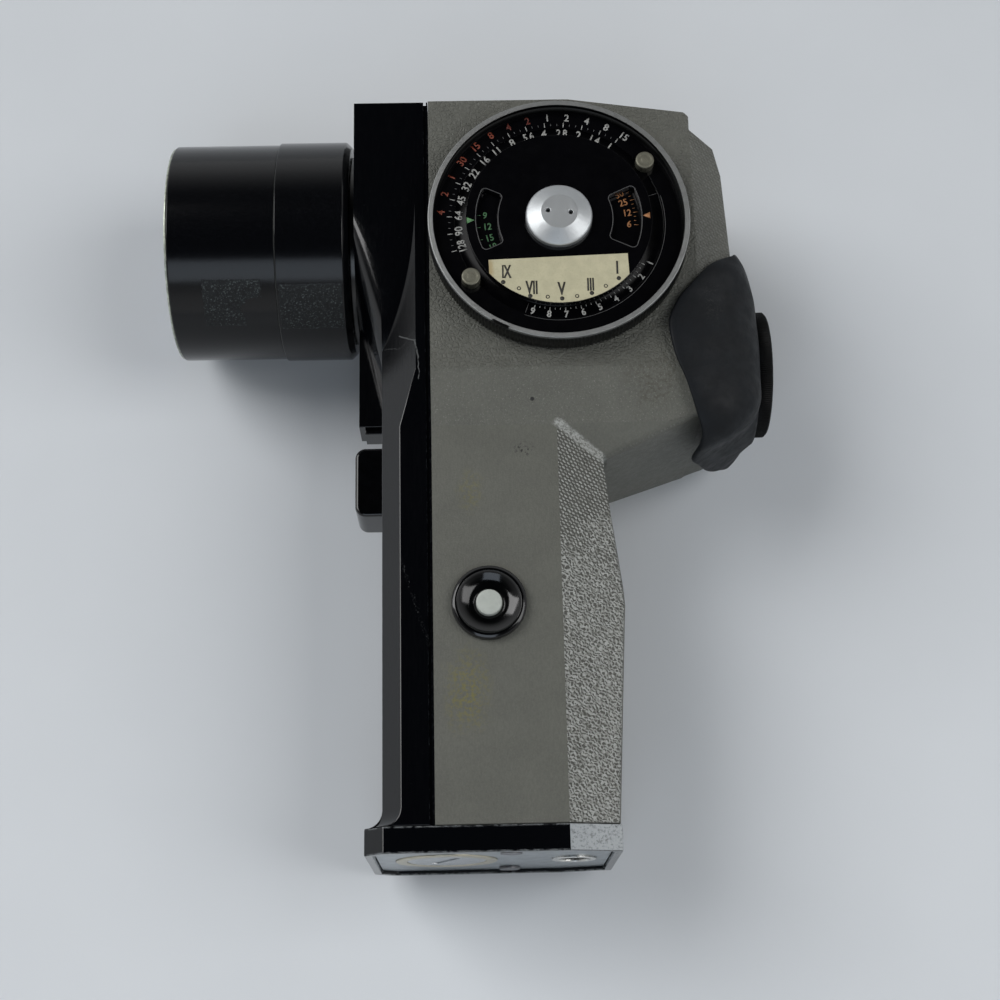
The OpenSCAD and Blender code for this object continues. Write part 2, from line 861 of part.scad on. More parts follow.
module objective_front() {
    x0 = barrel_mouth_x + filter_depth + retainer_t + seat_gap;
    color([0.5, 0.55, 0.65]) lens(x0, lens_edge, front_lens_r, lens_bulge);
}

module objective_rear() {
    color([0.5, 0.55, 0.65]) {
        lens(barrel_end_x - mount_reach + 2, lens_edge, rear_lens_r, lens_bulge);
    }
}

// Box that holds the two mirrors, the screen and the meter's cell
module mirror_box() {
    back_x = box_end_x - box_wall;
    color([0.06, 0.06, 0.06]) difference() {
        box([box_front_x, box_low, -box_z], [box_end_x, box_top, box_z]);
        box([box_front_x + box_wall, box_low + box_wall, -box_z + box_wall],
            [back_x, box_top - box_wall, box_z - box_wall]);
        along_x(box_front_x - 1, box_front_x + box_wall + 1, box_mouth_r);
        along_x(back_x - 1, box_end_x + 1, cell_r_in);
        along_x(back_x - 1, box_end_x + 1, focus_bore_r - 0.4, -eye_down);
        box([back_x - 1, pointer_y - pointer_slot_half, -pointer_slot_z],
            [box_end_x + 1, pointer_y + pointer_slot_half, pointer_slot_z]);
    }
}

// A mirror across the box, tilted to turn the light downwards and then back
module mirror_plate(y) {
    translate([mirror_x, y, 0]) rotate([0, 0, -45]) {
        cube([mirror_len, mirror_t, 2 * (box_z - box_wall - fit_gap)], center = true);
    }
}

module reflex_mirror() {
    color([0.75, 0.78, 0.82]) mirror_plate(0);
}

module eye_mirror() {
    color([0.75, 0.78, 0.82]) mirror_plate(-eye_down);
}

module focusing_screen() {
    z = box_z - box_wall - fit_gap;
    half = mirror_half + screen_lip;
    color([0.85, 0.87, 0.85]) {
        box([mirror_x - half, screen_y - screen_t / 2, -z], [mirror_x + half, screen_y + screen_t / 2, z]);
    }
}

module cell_holder() {
    x0 = box_end_x + fit_gap;
    color([0.1, 0.1, 0.1]) difference() {
        along_x(x0, x0 + holder_len, cell_r_in + holder_wall);
        along_x(x0 - 1, x0 + holder_len - holder_cap, cell_r_in + seat_gap);
    }
}

module photocell() {
    x1 = box_end_x + holder_len - holder_cap;
    color([0.75, 0.6, 0.3]) along_x(x1 - cell_len, x1, cell_r_in);
}

// Bracket on the mirror box that carries the meter movement
module movement_bracket() {
    x0 = box_end_x + fit_gap;
    top = magnet_y - fit_gap;
    color([0.5, 0.5, 0.5]) difference() {
        union() {
            box([x0, top - bracket_t, -bracket_z], [movement_x + magnet_r, top, bracket_z]);
            box([x0, top - bracket_t, -bracket_z], [x0 + bracket_t, top + bracket_up, bracket_z]);
        }
        along_y(top - bracket_t - 1, top + 1, pivot_r + fit_gap, movement_x);
        box([x0 - 1, top, -magnet_r - seat_gap],
            [x0 + bracket_t + 1, top + bracket_up + 1, magnet_r + seat_gap]);
    }
}

// Ring magnet with a bridge across its top for the upper pivot
module movement_magnet() {
    top = magnet_y + magnet_h;
    color([0.35, 0.35, 0.38]) difference() {
        union() {
            difference() {
                along_y(magnet_y, top, magnet_r, movement_x);
                along_y(magnet_y - 1, top + 1, magnet_r - magnet_wall, movement_x);
            }
            intersection() {
                along_y(top - bridge_t, top, magnet_r - magnet_wall / 2, movement_x);
                box([movement_x - magnet_r, top - 2 * bridge_t, -bridge_w / 2],
                    [movement_x + magnet_r, top, bridge_w / 2]);
            }
        }
        along_y(magnet_y - 1, top + 1, pivot_r + fit_gap, movement_x);
    }
}

// Turning coil with its lower pivot
module movement_coil() {
    x = movement_x;
    top = coil_y + coil_h;
    inner = coil_half - coil_leg;
    color([0.75, 0.3, 0.15]) {
        difference() {
            box([x - coil_leg, coil_y, -coil_half], [x + coil_leg, top, coil_half]);
            box([x - coil_leg - 1, coil_y + coil_leg, -inner], [x + coil_leg + 1, top - coil_leg, inner]);
        }
        along_y(magnet_y - 1, coil_y, pivot_r, x);
    }
}

// Pointer with its staff and balance weight
module needle() {
    low = pointer_y - pointer_half;
    high = pointer_y + pointer_half;
    x = movement_x;
    weight_end = x + weight_x + weight_len / 2;
    color([0.85, 0.2, 0.1]) {
        along_y(coil_y + coil_h, high, pivot_r, x);
        box([x - pointer_len, low, -pointer_half], [x + weight_x, high, pointer_half]);
        box([weight_end - weight_len, pointer_y - weight_h / 2, -weight_w / 2],
            [weight_end, pointer_y + weight_h / 2, weight_w / 2]);
    }
}

module trigger_button() {
    y0 = -trigger_down - trigger_len / 2;
    y1 = -trigger_down + trigger_len / 2;
    z = trigger_w / 2;
    x0 = grip_front - trigger_out;
    x1 = trigger_back_x;
    lip = trigger_lip;
    color([0.04, 0.04, 0.045]) {
        box([x0 + trigger_round, y0, -z], [x1 + seat_gap, y1, z]);
        box([x0, y0 + trigger_round, -z], [x1 + seat_gap, y1 - trigger_round, z]);
        for (y = [y0 + trigger_round, y1 - trigger_round]) {
            along_z(-z, z, trigger_round, x0 + trigger_round, y);
        }
        box([x1, y0 - lip, -z - lip], [x1 + trigger_lip_t, y1 + lip, z + lip]);
        along_x(x1, x1 + trigger_stem, trigger_stem_r, -trigger_down);
    }
}

module trigger_spring() {
    x0 = trigger_back_x + trigger_lip_t + fit_gap;
    length = trigger_stem + trigger_travel - trigger_lip_t;
    color([0.6, 0.6, 0.62]) translate([x0, -trigger_down, 0]) rotate([0, 90, 0]) {
        coil_spring(trigger_spring_r, spring_wire / 2, length, 4);
    }
}

// Switch behind the trigger, carried across the frame
module trigger_switch() {
    x0 = trigger_back_x + trigger_stem + trigger_travel + seat_gap;
    side = grip_z - frame_wall - seat_gap;
    y = -trigger_down;
    color([0.15, 0.13, 0.1]) difference() {
        union() {
            box([x0, y - switch_low, -switch_z], [x0 + switch_len, y + switch_up, switch_z]);
            box([x0, y - switch_bar_half, -side], [x0 + switch_bar_t, y + switch_bar_half, side]);
        }
        along_x(x0 - 1, x0 + plunger_len, plunger_r, y);
    }
}

// Dished ring that guards the check button
module check_guard() {
    inner = check_r + fit_gap;
    sleeve_r = guard_r - guard_step;
    low = -wall - guard_sleeve;
    color([0.03, 0.03, 0.03]) translate([check_x, -check_down, grip_z]) rotate_extrude() polygon([
        [inner, low],
        [sleeve_r, low],
        [sleeve_r, seat_gap],
        [guard_r, seat_gap],
        [guard_r, guard_h - guard_round],
        [guard_r - guard_round, guard_h],
        [guard_r - 2 * guard_round, guard_h],
        [check_r + dish_w, dish_floor],
        [inner, dish_floor]
    ]);
}

module check_button() {
    color([0.9, 0.9, 0.88]) {
        along_z(check_low, grip_z + check_out, check_r, check_x, -check_down);
        along_z(check_low, check_low + check_flange, check_flange_r, check_x, -check_down);
    }
}

module check_spring() {
    low = board_z + board_t + seat_gap;
    color([0.7, 0.7, 0.7]) translate([check_x, -check_down, low]) {
        coil_spring(check_spring_r, spring_wire / 2, check_low - seat_gap - low, 4);
    }
}

// Contact stud on the circuit board, under the check button
module check_switch() {
    low = board_z + board_t + fit_gap;
    color([0.15, 0.13, 0.1]) {
        along_z(low, check_low - check_travel - 2 * seat_gap, stud_r, check_x, -check_down);
    }
}

module circuit_board() {
    x1 = waist_x - wall - board_edge;
    color([0.2, 0.32, 0.16]) {
        box([frame_len + board_inset, board_low, board_z], [x1, board_high, board_z + board_t]);
    }
}

// Capacitor, trimmer and two amplifier cans on the board's lower face
module board_parts() {
    top = board_z - fit_gap;
    mid = (board_low + board_high) / 2;
    x0 = frame_len + can_side + 1;
    color([0.3, 0.3, 0.45]) {
        along_z(top - capacitor_h, top, capacitor_r, grip_flat - 2, mid + 2 * capacitor_r + 1);
        along_z(top - trimmer_h, top, trimmer_r, grip_flat - 3, mid - 2 * trimmer_r + 1);
        for (y = [mid - can_side - 1, mid - can_side - 1 + can_pitch]) {
            box([x0, y, top - can_h], [x0 + can_side, y + can_side, top]);
        }
    }
}

// Fixed plate and post that carry the dial
module dial_base() {
    color([0.05, 0.05, 0.05]) {
        at_dial() {
            along_z(dial_face, dial_face + dial_base_t, ring_bore_r - bezel_edge);
            along_z(dial_face, film_z - run_gap, dial_seat_r);
            along_z(head_z - wall - post_up, disc_top + post_up, post_r);
        }
    }
}

// Disc whose raised middle bears the film speed numbers that show in the two windows
module film_speed_disc() {
    color([0.03, 0.03, 0.03]) at_dial() difference() {
        union() {
            tube_z(film_z, film_z + film_t, ring_bore_r - fit_gap, post_r + fit_gap);
            tube_z(film_z, disc_top - disc_t - run_gap, film_step_r, post_r + fit_gap);
        }
        for (a = pin_angles) rotate(a) {
            along_z(film_z - 1, film_z + film_t + 1, pin_shank_r + fit_gap, pin_ring_r);
        }
    }
}

module dial_knurled_ring() {
    color([0.04, 0.04, 0.04]) at_dial() {
        tube_z(dial_face + run_gap, bezel_z, bezel_r + 0.1, ring_bore_r);
    }
}

module dial_bezel() {
    color([0.72, 0.72, 0.73]) at_dial() translate([0, 0, bezel_z]) rotate_extrude() polygon([
        [bezel_in_r, stack_gap],
        [bezel_r, stack_gap],
        [bezel_r, bezel_h - bezel_edge],
        [bezel_r - bezel_edge, bezel_h],
        [bezel_in_r + bezel_edge / 2, bezel_h],
        [bezel_in_r, bezel_h - bezel_edge / 2]
    ]);
}

module outer_scale_ring() {
    color([0.02, 0.02, 0.02]) at_dial() difference() {
        tube_z(ring_top - ring_t, ring_top, ring_bore_r - fit_gap, disc_r + 2 * fit_gap);
        for (a = pin_angles) rotate(a) {
            along_z(ring_top - ring_t - 1, ring_top + 1, pin_shank_r + fit_gap, pin_ring_r);
        }
    }
}

// Two pins that join the scale ring to the film speed disc and turn both
module dial_pins() {
    color([0.75, 0.74, 0.7]) at_dial() for (a = pin_angles) rotate(a) {
        along_z(ring_top + stack_gap, ring_top + pin_h, pin_r, pin_ring_r);
        along_z(film_z + seat_gap, ring_top + seat_gap, pin_shank_r, pin_ring_r);
    }
}

// Middle disc: a plate with the two film speed windows, on a lower rim with aperture numbers
module calculator_disc() {
    z0 = ring_top - ring_t;
    color([0.02, 0.02, 0.02]) at_dial() difference() {
        union() {
            tube_z(disc_top - disc_t, disc_top, plate_r, post_r + fit_gap);
            tube_z(z0, disc_top, plate_r, film_step_r + 3 * fit_gap);
            tube_z(z0, ring_top - rim_step, disc_r, film_step_r + 3 * fit_gap);
        }
        for (w = windows) rotate(w[0]) intersection() {
            tube_z(disc_top - disc_t - 1, disc_top + 1, window_out, w[1]);
            translate([0, 0, disc_top - disc_t - 1]) linear_extrude(disc_t + 2) {
                polygon([[0, 0], [plate_r, window_half], [plate_r, -window_half]]);
            }
        }
    }
}

// Pale card stuck on the lower part of the middle disc
module scale_card() {
    z0 = disc_top + stack_gap;
    color([0.85, 0.8, 0.62]) at_dial(card_turn) intersection() {
        along_z(z0, z0 + card_t, plate_r - card_rim);
        box([-card_left, -plate_r, z0 - 1], [card_right, -hub_r - card_drop, z0 + 1]);
    }
}

module hub_nut() {
    z0 = disc_top + stack_gap;
    color([0.75, 0.75, 0.76]) at_dial() difference() {
        translate([0, 0, z0]) rotate_extrude() polygon([
            [0, 0],
            [hub_r, 0],
            [hub_r, hub_edge],
            [hub_r - hub_lip, hub_edge + hub_lip],
            [hub_top_r, hub_h],
            [0, hub_h]
        ]);
        rotate(key_hole_turn) for (s = [-1, 1]) {
            along_z(z0 + hub_h - 1, z0 + hub_h + 1, key_hole_r, key_hole_x * s);
        }
        along_z(z0 - 1, z0 + hub_seat, post_r + fit_gap);
    }
}

module eyepiece_tube() {
    color([0.05, 0.05, 0.05]) difference() {
        union() {
            along_x(rear_len - eye_tube_in, eye_end_x - focus_lip - 0.2, eye_tube_r, -eye_down);
            along_x(rear_len + seat_gap, rear_len + flange_t, flange_r, -eye_down);
        }
        along_x(rear_len - eye_tube_in - 1, eye_end_x, eye_bore_r, -eye_down);
    }
}

module ocular_cell() {
    x0 = rear_len - ocular_in;
    r = eye_bore_r - fit_gap;
    color([0.1, 0.1, 0.1]) tube_x(x0, x0 + ocular_len, r, r - ocular_wall, -eye_down);
}

module ocular_lens() {
    r = eye_bore_r - ocular_wall - 2 * fit_gap;
    color([0.5, 0.55, 0.65]) lens(rear_len, ocular_edge, r, ocular_bulge, -eye_down);
}

// Knurled ring that turns on the end of the eyepiece tube
module focus_ring() {
    color([0.03, 0.03, 0.03]) difference() {
        along_x(focus_x, eye_end_x, focus_r, -eye_down);
        along_x(focus_x - 1, eye_end_x - focus_lip, eye_tube_r + fit_gap, -eye_down);
        along_x(focus_x, eye_end_x + 1, focus_bore_r, -eye_down);
    }
}

// Free edge of the folded eyecup: angle round the eyepiece from the top towards the dial side,
// distance behind the rear face, how far the radius passes the head's half thickness, and how far
// the rubber swells out between collar and edge
cup_edge = [
    [0, 2.4, -3.2, 0.8], [30, 2.4, 0.8, 0.7], [46, 1.6, 4.6, 0.65], [55, -4.4, 5.2, 0.95],
    [64, -8.2, 4.2, 0.8], [76, -12, 2.9, 0.8], [88, -13.9, 2.5, 0.85], [100, -13.2, 2.7, 0.85],
    [114, -10.9, 3.7, 0.95], [126, -9.1, 5, 1.1], [136, -7.6, 5.6, 0.8], [152, -8.6, 2.4, 0.25],
    [168, -5.5, -1.4, 0.3], [185, -4, -3, 0.4], [205, -1, -3.2, 0.5], [225, 2.4, -1.8, 0.6],
    [250, 2.4, -0.9, 0.6], [270, 2.4, -1, 0.6], [300, 2.4, -0.9, 0.6], [330, 2.4, -1.8, 0.6],
    [360, 2.4, -3.2, 0.8]
];

// Value k of the free edge at an angle, smoothed between the listed ones
function edge_at(angle, k) = let (
    i = max([for (j = [0:len(cup_edge) - 2]) if (cup_edge[j][0] <= angle) j]),
    s = (angle - cup_edge[i][0]) / (cup_edge[i + 1][0] - cup_edge[i][0])
) mix(cup_edge[i][k], cup_edge[i + 1][k], (1 - cos(180 * s)) / 2);

// Outer skin of the eyecup at one angle and at t from 0 at the collar to 90 at the free edge:
// distance behind the rear face and radius
function cup_skin(angle, t) = let (
    back = [focus_x - rear_len + 0.9, focus_r + 1.3],
    edge = [edge_at(angle, 1), head_z + edge_at(angle, 2)],
    round = [edge[0] + (back[0] - edge[0]) * cos(t), back[1] + (edge[1] - back[1]) * sin(t)]
) mix(mix(back, edge, t / 90), round, edge_at(angle, 3));

// Closed outline of the eyecup at one angle: a flat collar in the groove before the focusing
// ring, the outer skin out to the free edge, and the inner skin back
function cup_outline(angle) = let (
    collar_x = focus_x - rear_len - run_gap,
    collar_r = eye_tube_r + seat_gap,
    turns = [0:15:90]
) concat(
    [[collar_x, collar_r], [collar_x, focus_r + 0.4]],
    [for (t = turns) cup_skin(angle, t)],
    [for (t = [90:-15:0]) let (d = cup_skin(angle, t + 2) - cup_skin(angle, t - 2))
        cup_skin(angle, t) + cup_wall * [-d[1], d[0]] / norm(d)
    ],
    [[flange_t + seat_gap, flange_r - 0.4], [flange_t + seat_gap, collar_r]]
);

module eyecup() {
    steps = 48;
    n = len(cup_outline(0));
    points = [for (i = [0:steps - 1]) let (t = 360 * i / steps) for (q = cup_outline(t))
        [rear_len + q[0], -eye_down + q[1] * cos(t), q[1] * sin(t)]
    ];
    faces = [for (i = [0:steps - 1]) for (k = [0:n - 1])
        let (p = i * n, q = ((i + 1) % steps) * n, m = (k + 1) % n) each [
            [p + k, q + k, p + m],
            [q + k, q + m, p + m]
        ]
    ];
    color([0.11, 0.12, 0.13]) polyhedron(points, faces);
}

placed() front_frame();
placed() left_cover();
placed() right_cover();
placed() cover_screws();
placed() base_foot();
placed() base_plate();
placed() base_screws();
placed() battery_collar();
placed() battery_cover();
placed() battery_cells();
placed() battery_tube();
placed() battery_spring();
placed() tripod_bush();
placed() lens_mount();
placed() barrel_rear();
placed() barrel_front();
placed() rim_ring();
placed() lens_retainer();
placed() objective_front();
placed() objective_rear();
placed() mirror_box();
placed() reflex_mirror();
placed() eye_mirror();
placed() focusing_screen();
placed() cell_holder();
placed() photocell();
placed() movement_bracket();
placed() movement_magnet();
placed() movement_coil();
placed() needle();
placed() trigger_button();
placed() trigger_spring();
placed() trigger_switch();
placed() check_guard();
placed() check_button();
placed() check_spring();
placed() check_switch();
placed() circuit_board();
placed() board_parts();
placed() dial_base();
placed() film_speed_disc();
placed() dial_knurled_ring();
placed() dial_bezel();
placed() outer_scale_ring();
placed() dial_pins();
placed() calculator_disc();
placed() scale_card();
placed() hub_nut();
placed() eyepiece_tube();
placed() ocular_cell();
placed() ocular_lens();
placed() focus_ring();
placed() eyecup();
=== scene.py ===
"""Reflex spot meter with a pistol grip, lying on its right side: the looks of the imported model."""
import json
import math

import bmesh
import bpy
from mathutils import Matrix, Vector


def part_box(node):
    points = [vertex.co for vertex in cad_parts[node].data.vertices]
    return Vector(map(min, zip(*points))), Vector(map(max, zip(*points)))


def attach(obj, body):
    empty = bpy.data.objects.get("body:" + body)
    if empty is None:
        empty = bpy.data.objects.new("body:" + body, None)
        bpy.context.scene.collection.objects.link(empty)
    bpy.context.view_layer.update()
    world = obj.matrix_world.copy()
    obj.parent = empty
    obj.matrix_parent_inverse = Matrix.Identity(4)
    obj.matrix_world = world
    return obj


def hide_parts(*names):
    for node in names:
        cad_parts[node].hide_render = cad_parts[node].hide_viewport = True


MM = 0.001
TURN = 2 * math.pi

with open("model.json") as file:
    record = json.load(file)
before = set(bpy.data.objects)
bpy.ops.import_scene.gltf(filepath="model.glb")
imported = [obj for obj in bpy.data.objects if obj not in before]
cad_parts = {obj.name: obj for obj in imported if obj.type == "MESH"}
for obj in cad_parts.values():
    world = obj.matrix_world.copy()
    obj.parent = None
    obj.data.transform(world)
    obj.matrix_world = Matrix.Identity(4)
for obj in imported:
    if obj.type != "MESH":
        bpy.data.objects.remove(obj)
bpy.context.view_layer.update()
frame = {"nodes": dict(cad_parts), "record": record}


def span(node):
    """Lowest and highest corner of a CAD node, in millimetres."""
    low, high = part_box(node)
    return low / MM, high / MM


def middle(node):
    low, high = span(node)
    return (low + high) / 2


# Places that the pieces share, in millimetres
MID_Z = middle("front_frame").z
LENS = (middle("barrel_front").y, MID_Z)
EYE = (middle("focus_ring").y, MID_Z)
DIAL = middle("dial_bezel")
DISC_TOP = span("calculator_disc")[1].z
RING_TOP = span("outer_scale_ring")[1].z
RIM_TOP = RING_TOP - 0.1
PLATE_R = 19.35
RIM_R = 21.75
BEZEL_IN, BEZEL_OUT = 26.05, 27.2
BAND_R = 27.3
COVER_LOW, COVER_HIGH = span("left_cover")
JOINT_X = COVER_LOW.x
CHECK = middle("check_button")
BATTERY = middle("battery_cover")
BUSH = middle("tripod_bush")


# ---- shader graphs

def scaled(colour, factor):
    return tuple(c * factor for c in colour)


class Graph:
    """A material's node tree, with short calls for the nodes used here. tone and normal are its
    colour and its bumps so far."""

    def __init__(self, name, specular=0.5, tone=None, **values):
        """Further values go to the shader's sockets; underscores stand for spaces."""
        self.material = bpy.data.materials.new(name)
        self.material.use_nodes = True
        self.tree = self.material.node_tree
        self.shader = self.tree.nodes["Principled BSDF"]
        self.place = self.add("TexCoord").outputs["Object"]
        self.tone = tone
        self.normal = None
        for key, value in {"Specular_IOR_Level": specular, **values}.items():
            self.shader.inputs[key.replace("_", " ")].default_value = value

    def add(self, kind, inputs=(), **settings):
        """A new node of that kind, with settings and what its inputs take."""
        node = self.tree.nodes.new("ShaderNode" + kind)
        for key, value in settings.items():
            setattr(node, key, value)
        for key, value in dict(inputs).items():
            self.feed(node.inputs[key], value)
        return node

    def feed(self, socket, value):
        if isinstance(value, bpy.types.NodeSocket):
            self.tree.links.new(value, socket)
        elif value is not None:
            socket.default_value = value

    def maths(self, operation, a, b=0.5, clamp=False):
        node = self.add("Math", {0: a, 1: b}, operation=operation, use_clamp=clamp)
        return node.outputs[0]

    def plus(self, a, b, clamp=False):
        return self.maths("ADD", a, b, clamp)

    def minus(self, a, b, clamp=False):
        return self.maths("SUBTRACT", a, b, clamp)

    def times(self, value, *others):
        for other in others:
            value = self.maths("MULTIPLY", value, other)
        return value

    def most(self, value, *others):
        """The highest of the values."""
        for other in others:
            value = self.maths("MAXIMUM", value, other)
        return value

    def vector(self, operation, a, b=None):
        node = self.add("VectorMath", {0: a, 1: b}, operation=operation)
        measures = operation in ("LENGTH", "DISTANCE", "DOT_PRODUCT")
        return node.outputs["Value" if measures else "Vector"]

    def moved(self, stretch=(1, 1, 1)):
        """Object coordinates in millimetres, multiplied by a factor for each axis."""
        inputs = {"Vector": self.place, "Scale": [s / MM for s in stretch]}
        return self.add("Mapping", inputs).outputs[0]

    def noise(self, size, detail=3, rough=0.55, warp=0, stretch=(1, 1, 1)):
        """Noise with features of about that size in millimetres."""
        inputs = {"Vector": self.moved(stretch), "Scale": 1 / size, "Detail": detail,
                  "Roughness": rough, "Distortion": warp}
        return self.add("TexNoise", inputs).outputs["Fac"]

    def cells(self, size, feature="F1", stretch=(1, 1, 1)):
        """Distance from the middle or the edge of cells of about that size in millimetres."""
        inputs = {"Vector": self.moved(stretch), "Scale": 1 / size}
        return self.add("TexVoronoi", inputs, feature=feature).outputs["Distance"]

    def span(self, value, low, high, out_low=0, out_high=1):
        """Maps low..high smoothly to out_low..out_high, held at the ends."""
        inputs = {"Value": value, "From Min": low, "From Max": high, "To Min": out_low,
                  "To Max": out_high}
        return self.add("MapRange", inputs, interpolation_type="SMOOTHSTEP").outputs[0]

    def between(self, value, low, high, soft):
        """1 between low and high, fading to 0 at both ends."""
        up = self.span(value, low - soft, low + soft)
        return self.times(up, self.span(value, high - soft, high + soft, 1, 0))

    def spot(self, centre, reach, soft, ragged=0, size=2):
        """1 inside an ellipsoid given in millimetres, fading to 0 at its edge."""
        offset = self.vector("SUBTRACT", self.moved(), centre)
        length = self.vector("LENGTH", self.vector("DIVIDE", offset, reach))
        if ragged:
            shake = self.times(self.minus(self.noise(size, 4), 0.5), 2 * ragged)
            length = self.plus(length, shake)
        return self.span(length, 1, 1 - soft)

    def coordinate(self, axis):
        """One of x, y and z in millimetres."""
        return self.add("SeparateXYZ", {0: self.moved()}).outputs[axis]

    def radius(self, centre):
        """Distance in millimetres from an upright axis."""
        offset = self.vector("SUBTRACT", self.moved(), (centre[0], centre[1], 0))
        return self.vector("LENGTH", self.vector("MULTIPLY", offset, (1, 1, 0)))

    def stroke(self, first, last, width):
        """1 near a wavering line between two points in x and y, fading to 0 at that distance. It
        is only on the upper side of the lying meter."""
        waver, upper = 0.9, (38, 40)
        a, b = (Vector((x + waver / 2, y + waver / 2, 0)) for x, y in (first, last))
        shake = self.add("TexNoise", {"Vector": self.moved(), "Scale": 0.6})
        shake = self.vector("MULTIPLY", shake.outputs["Color"], (waver, waver, 0))
        flat = self.vector("ADD", self.vector("MULTIPLY", self.moved(), (1, 1, 0)), shake)
        offset = self.vector("SUBTRACT", flat, a)
        length = (b - a).length
        way = (b - a) / length
        along = self.most(self.vector("DOT_PRODUCT", offset, way), 0)
        foot = self.vector("MULTIPLY", way, self.maths("MINIMUM", along, length))
        away = self.vector("DISTANCE", offset, foot)
        return self.times(self.span(away, width, width * 0.4),
                          self.span(self.coordinate(2), *upper))

    def worn_edges(self, radius, low=0.02, high=0.2):
        """1 along edges of about that radius in millimetres, from the bevelled normal."""
        bevelled = self.add("Bevel", {"Radius": radius * MM}, samples=4).outputs[0]
        normal = self.add("NewGeometry").outputs["Normal"]
        same = self.vector("DOT_PRODUCT", bevelled, normal)
        return self.span(self.minus(1, same), low, high)

    def facing(self, axis):
        """How far the surface faces that way, from -1 to 1, in the part's own frame."""
        normal = self.add("NewGeometry").outputs["True Normal"]
        return self.vector("DOT_PRODUCT", normal, axis)

    def mix(self, share, a, b):
        node = self.add("Mix", {0: share}, data_type="RGBA")
        for number, colour in ((6, a), (7, b)):
            if isinstance(colour, tuple):
                colour = (*colour, 1)
            self.feed(node.inputs[number], colour)
        return node.outputs[2]

    def ground(self, colour, size, detail, dark, light, low=0.3, high=0.7):
        """Starts the tone with clouds of that size, from a darker to a lighter colour."""
        share = self.span(self.noise(size, detail), low, high)
        self.tone = self.mix(share, scaled(colour, dark), scaled(colour, light))

    def paint(self, colour, *shares):
        """Lays a colour over the tone, by the product of the shares."""
        self.tone = self.mix(self.times(*shares), self.tone, colour)

    def bump(self, height, depth):
        """Adds bumps as deep as that in millimetres where height goes from 0 to 1."""
        inputs = {"Height": height, "Distance": depth * MM, "Normal": self.normal}
        self.normal = self.add("Bump", inputs).outputs[0]

    def finish(self, rough):
        looks = {"Base Color": self.tone, "Roughness": rough, "Normal": self.normal}
        for key, value in looks.items():
            self.feed(self.shader.inputs[key], value)
        return self.material


def plain(name, colour, rough, metallic, mottle, size, grain, grain_size=0.3, specular=0.5):
    """A surface with slightly uneven colour and gloss and a fine grain."""
    g = Graph(name, specular, Metallic=metallic)
    g.ground(colour, size, 4, 1 - mottle, 1 + mottle)
    g.bump(g.noise(grain_size), grain)
    return g.finish(g.span(g.noise(size * 0.6, 5), 0.3, 0.7, rough * 0.85, rough * 1.15))


def brushed(name, colour, rough, along, streak=0.03, depth=0.006):
    """Metal with fine lines that run along one axis, and a few scratches across them."""
    g = Graph(name, Metallic=1)
    stretch = [1, 1, 1]
    stretch[along] = streak
    lines = g.noise(0.12, 4, 0.6, 0, stretch)
    nick = g.span(g.noise(0.5, 6, 0.7, 1.5), 0.62, 0.72)
    g.ground(colour, 2.5, 4, 0.86, 1.05)
    g.paint(scaled(colour, 0.45), nick, 0.4)
    g.bump(g.plus(lines, g.times(nick, -0.6)), depth)
    return g.finish(g.span(lines, 0.3, 0.7, rough * 0.8, rough * 1.25))


def turned_metal(name, colour, rough, pitch, depth, mottle, dark=None):
    """Metal turned round the dial's axis, with very fine rings. dark(graph) gives the share of
    places that are nearly black."""
    g = Graph(name, Metallic=1)
    inputs = {"W": g.maths("DIVIDE", g.radius(DIAL), pitch), "Scale": 1, "Detail": 3}
    rings = g.add("TexNoise", inputs, noise_dimensions="1D").outputs["Fac"]
    grit = g.noise(0.16)
    g.tone = g.mix(g.noise(1.6, 4), scaled(colour, 1 - mottle), scaled(colour, 1 + mottle))
    g.paint(scaled(colour, 0.5), g.span(g.noise(0.9, 6, 0.7, 1), 0.62, 0.74), 0.35)
    if dark:
        g.paint((0.008, 0.008, 0.008), dark(g))
    g.bump(g.plus(rings, g.times(grit, 1.5)), depth)
    return g.finish(g.span(g.plus(rings, grit), 0.7, 1.3, rough * 0.75, rough * 1.3))


def bezel_black(g):
    """The bezel's inner side, and a chip at its lower left."""
    radius = g.radius(DIAL)
    chip = g.spot((6.3, 24.6, 54.6), (2.3, 1.5, 2), 0.2, 0.6, 0.9)
    return g.most(g.span(radius, 26.2, 26.1), g.times(chip, g.span(radius, 26.7, 26.8)))


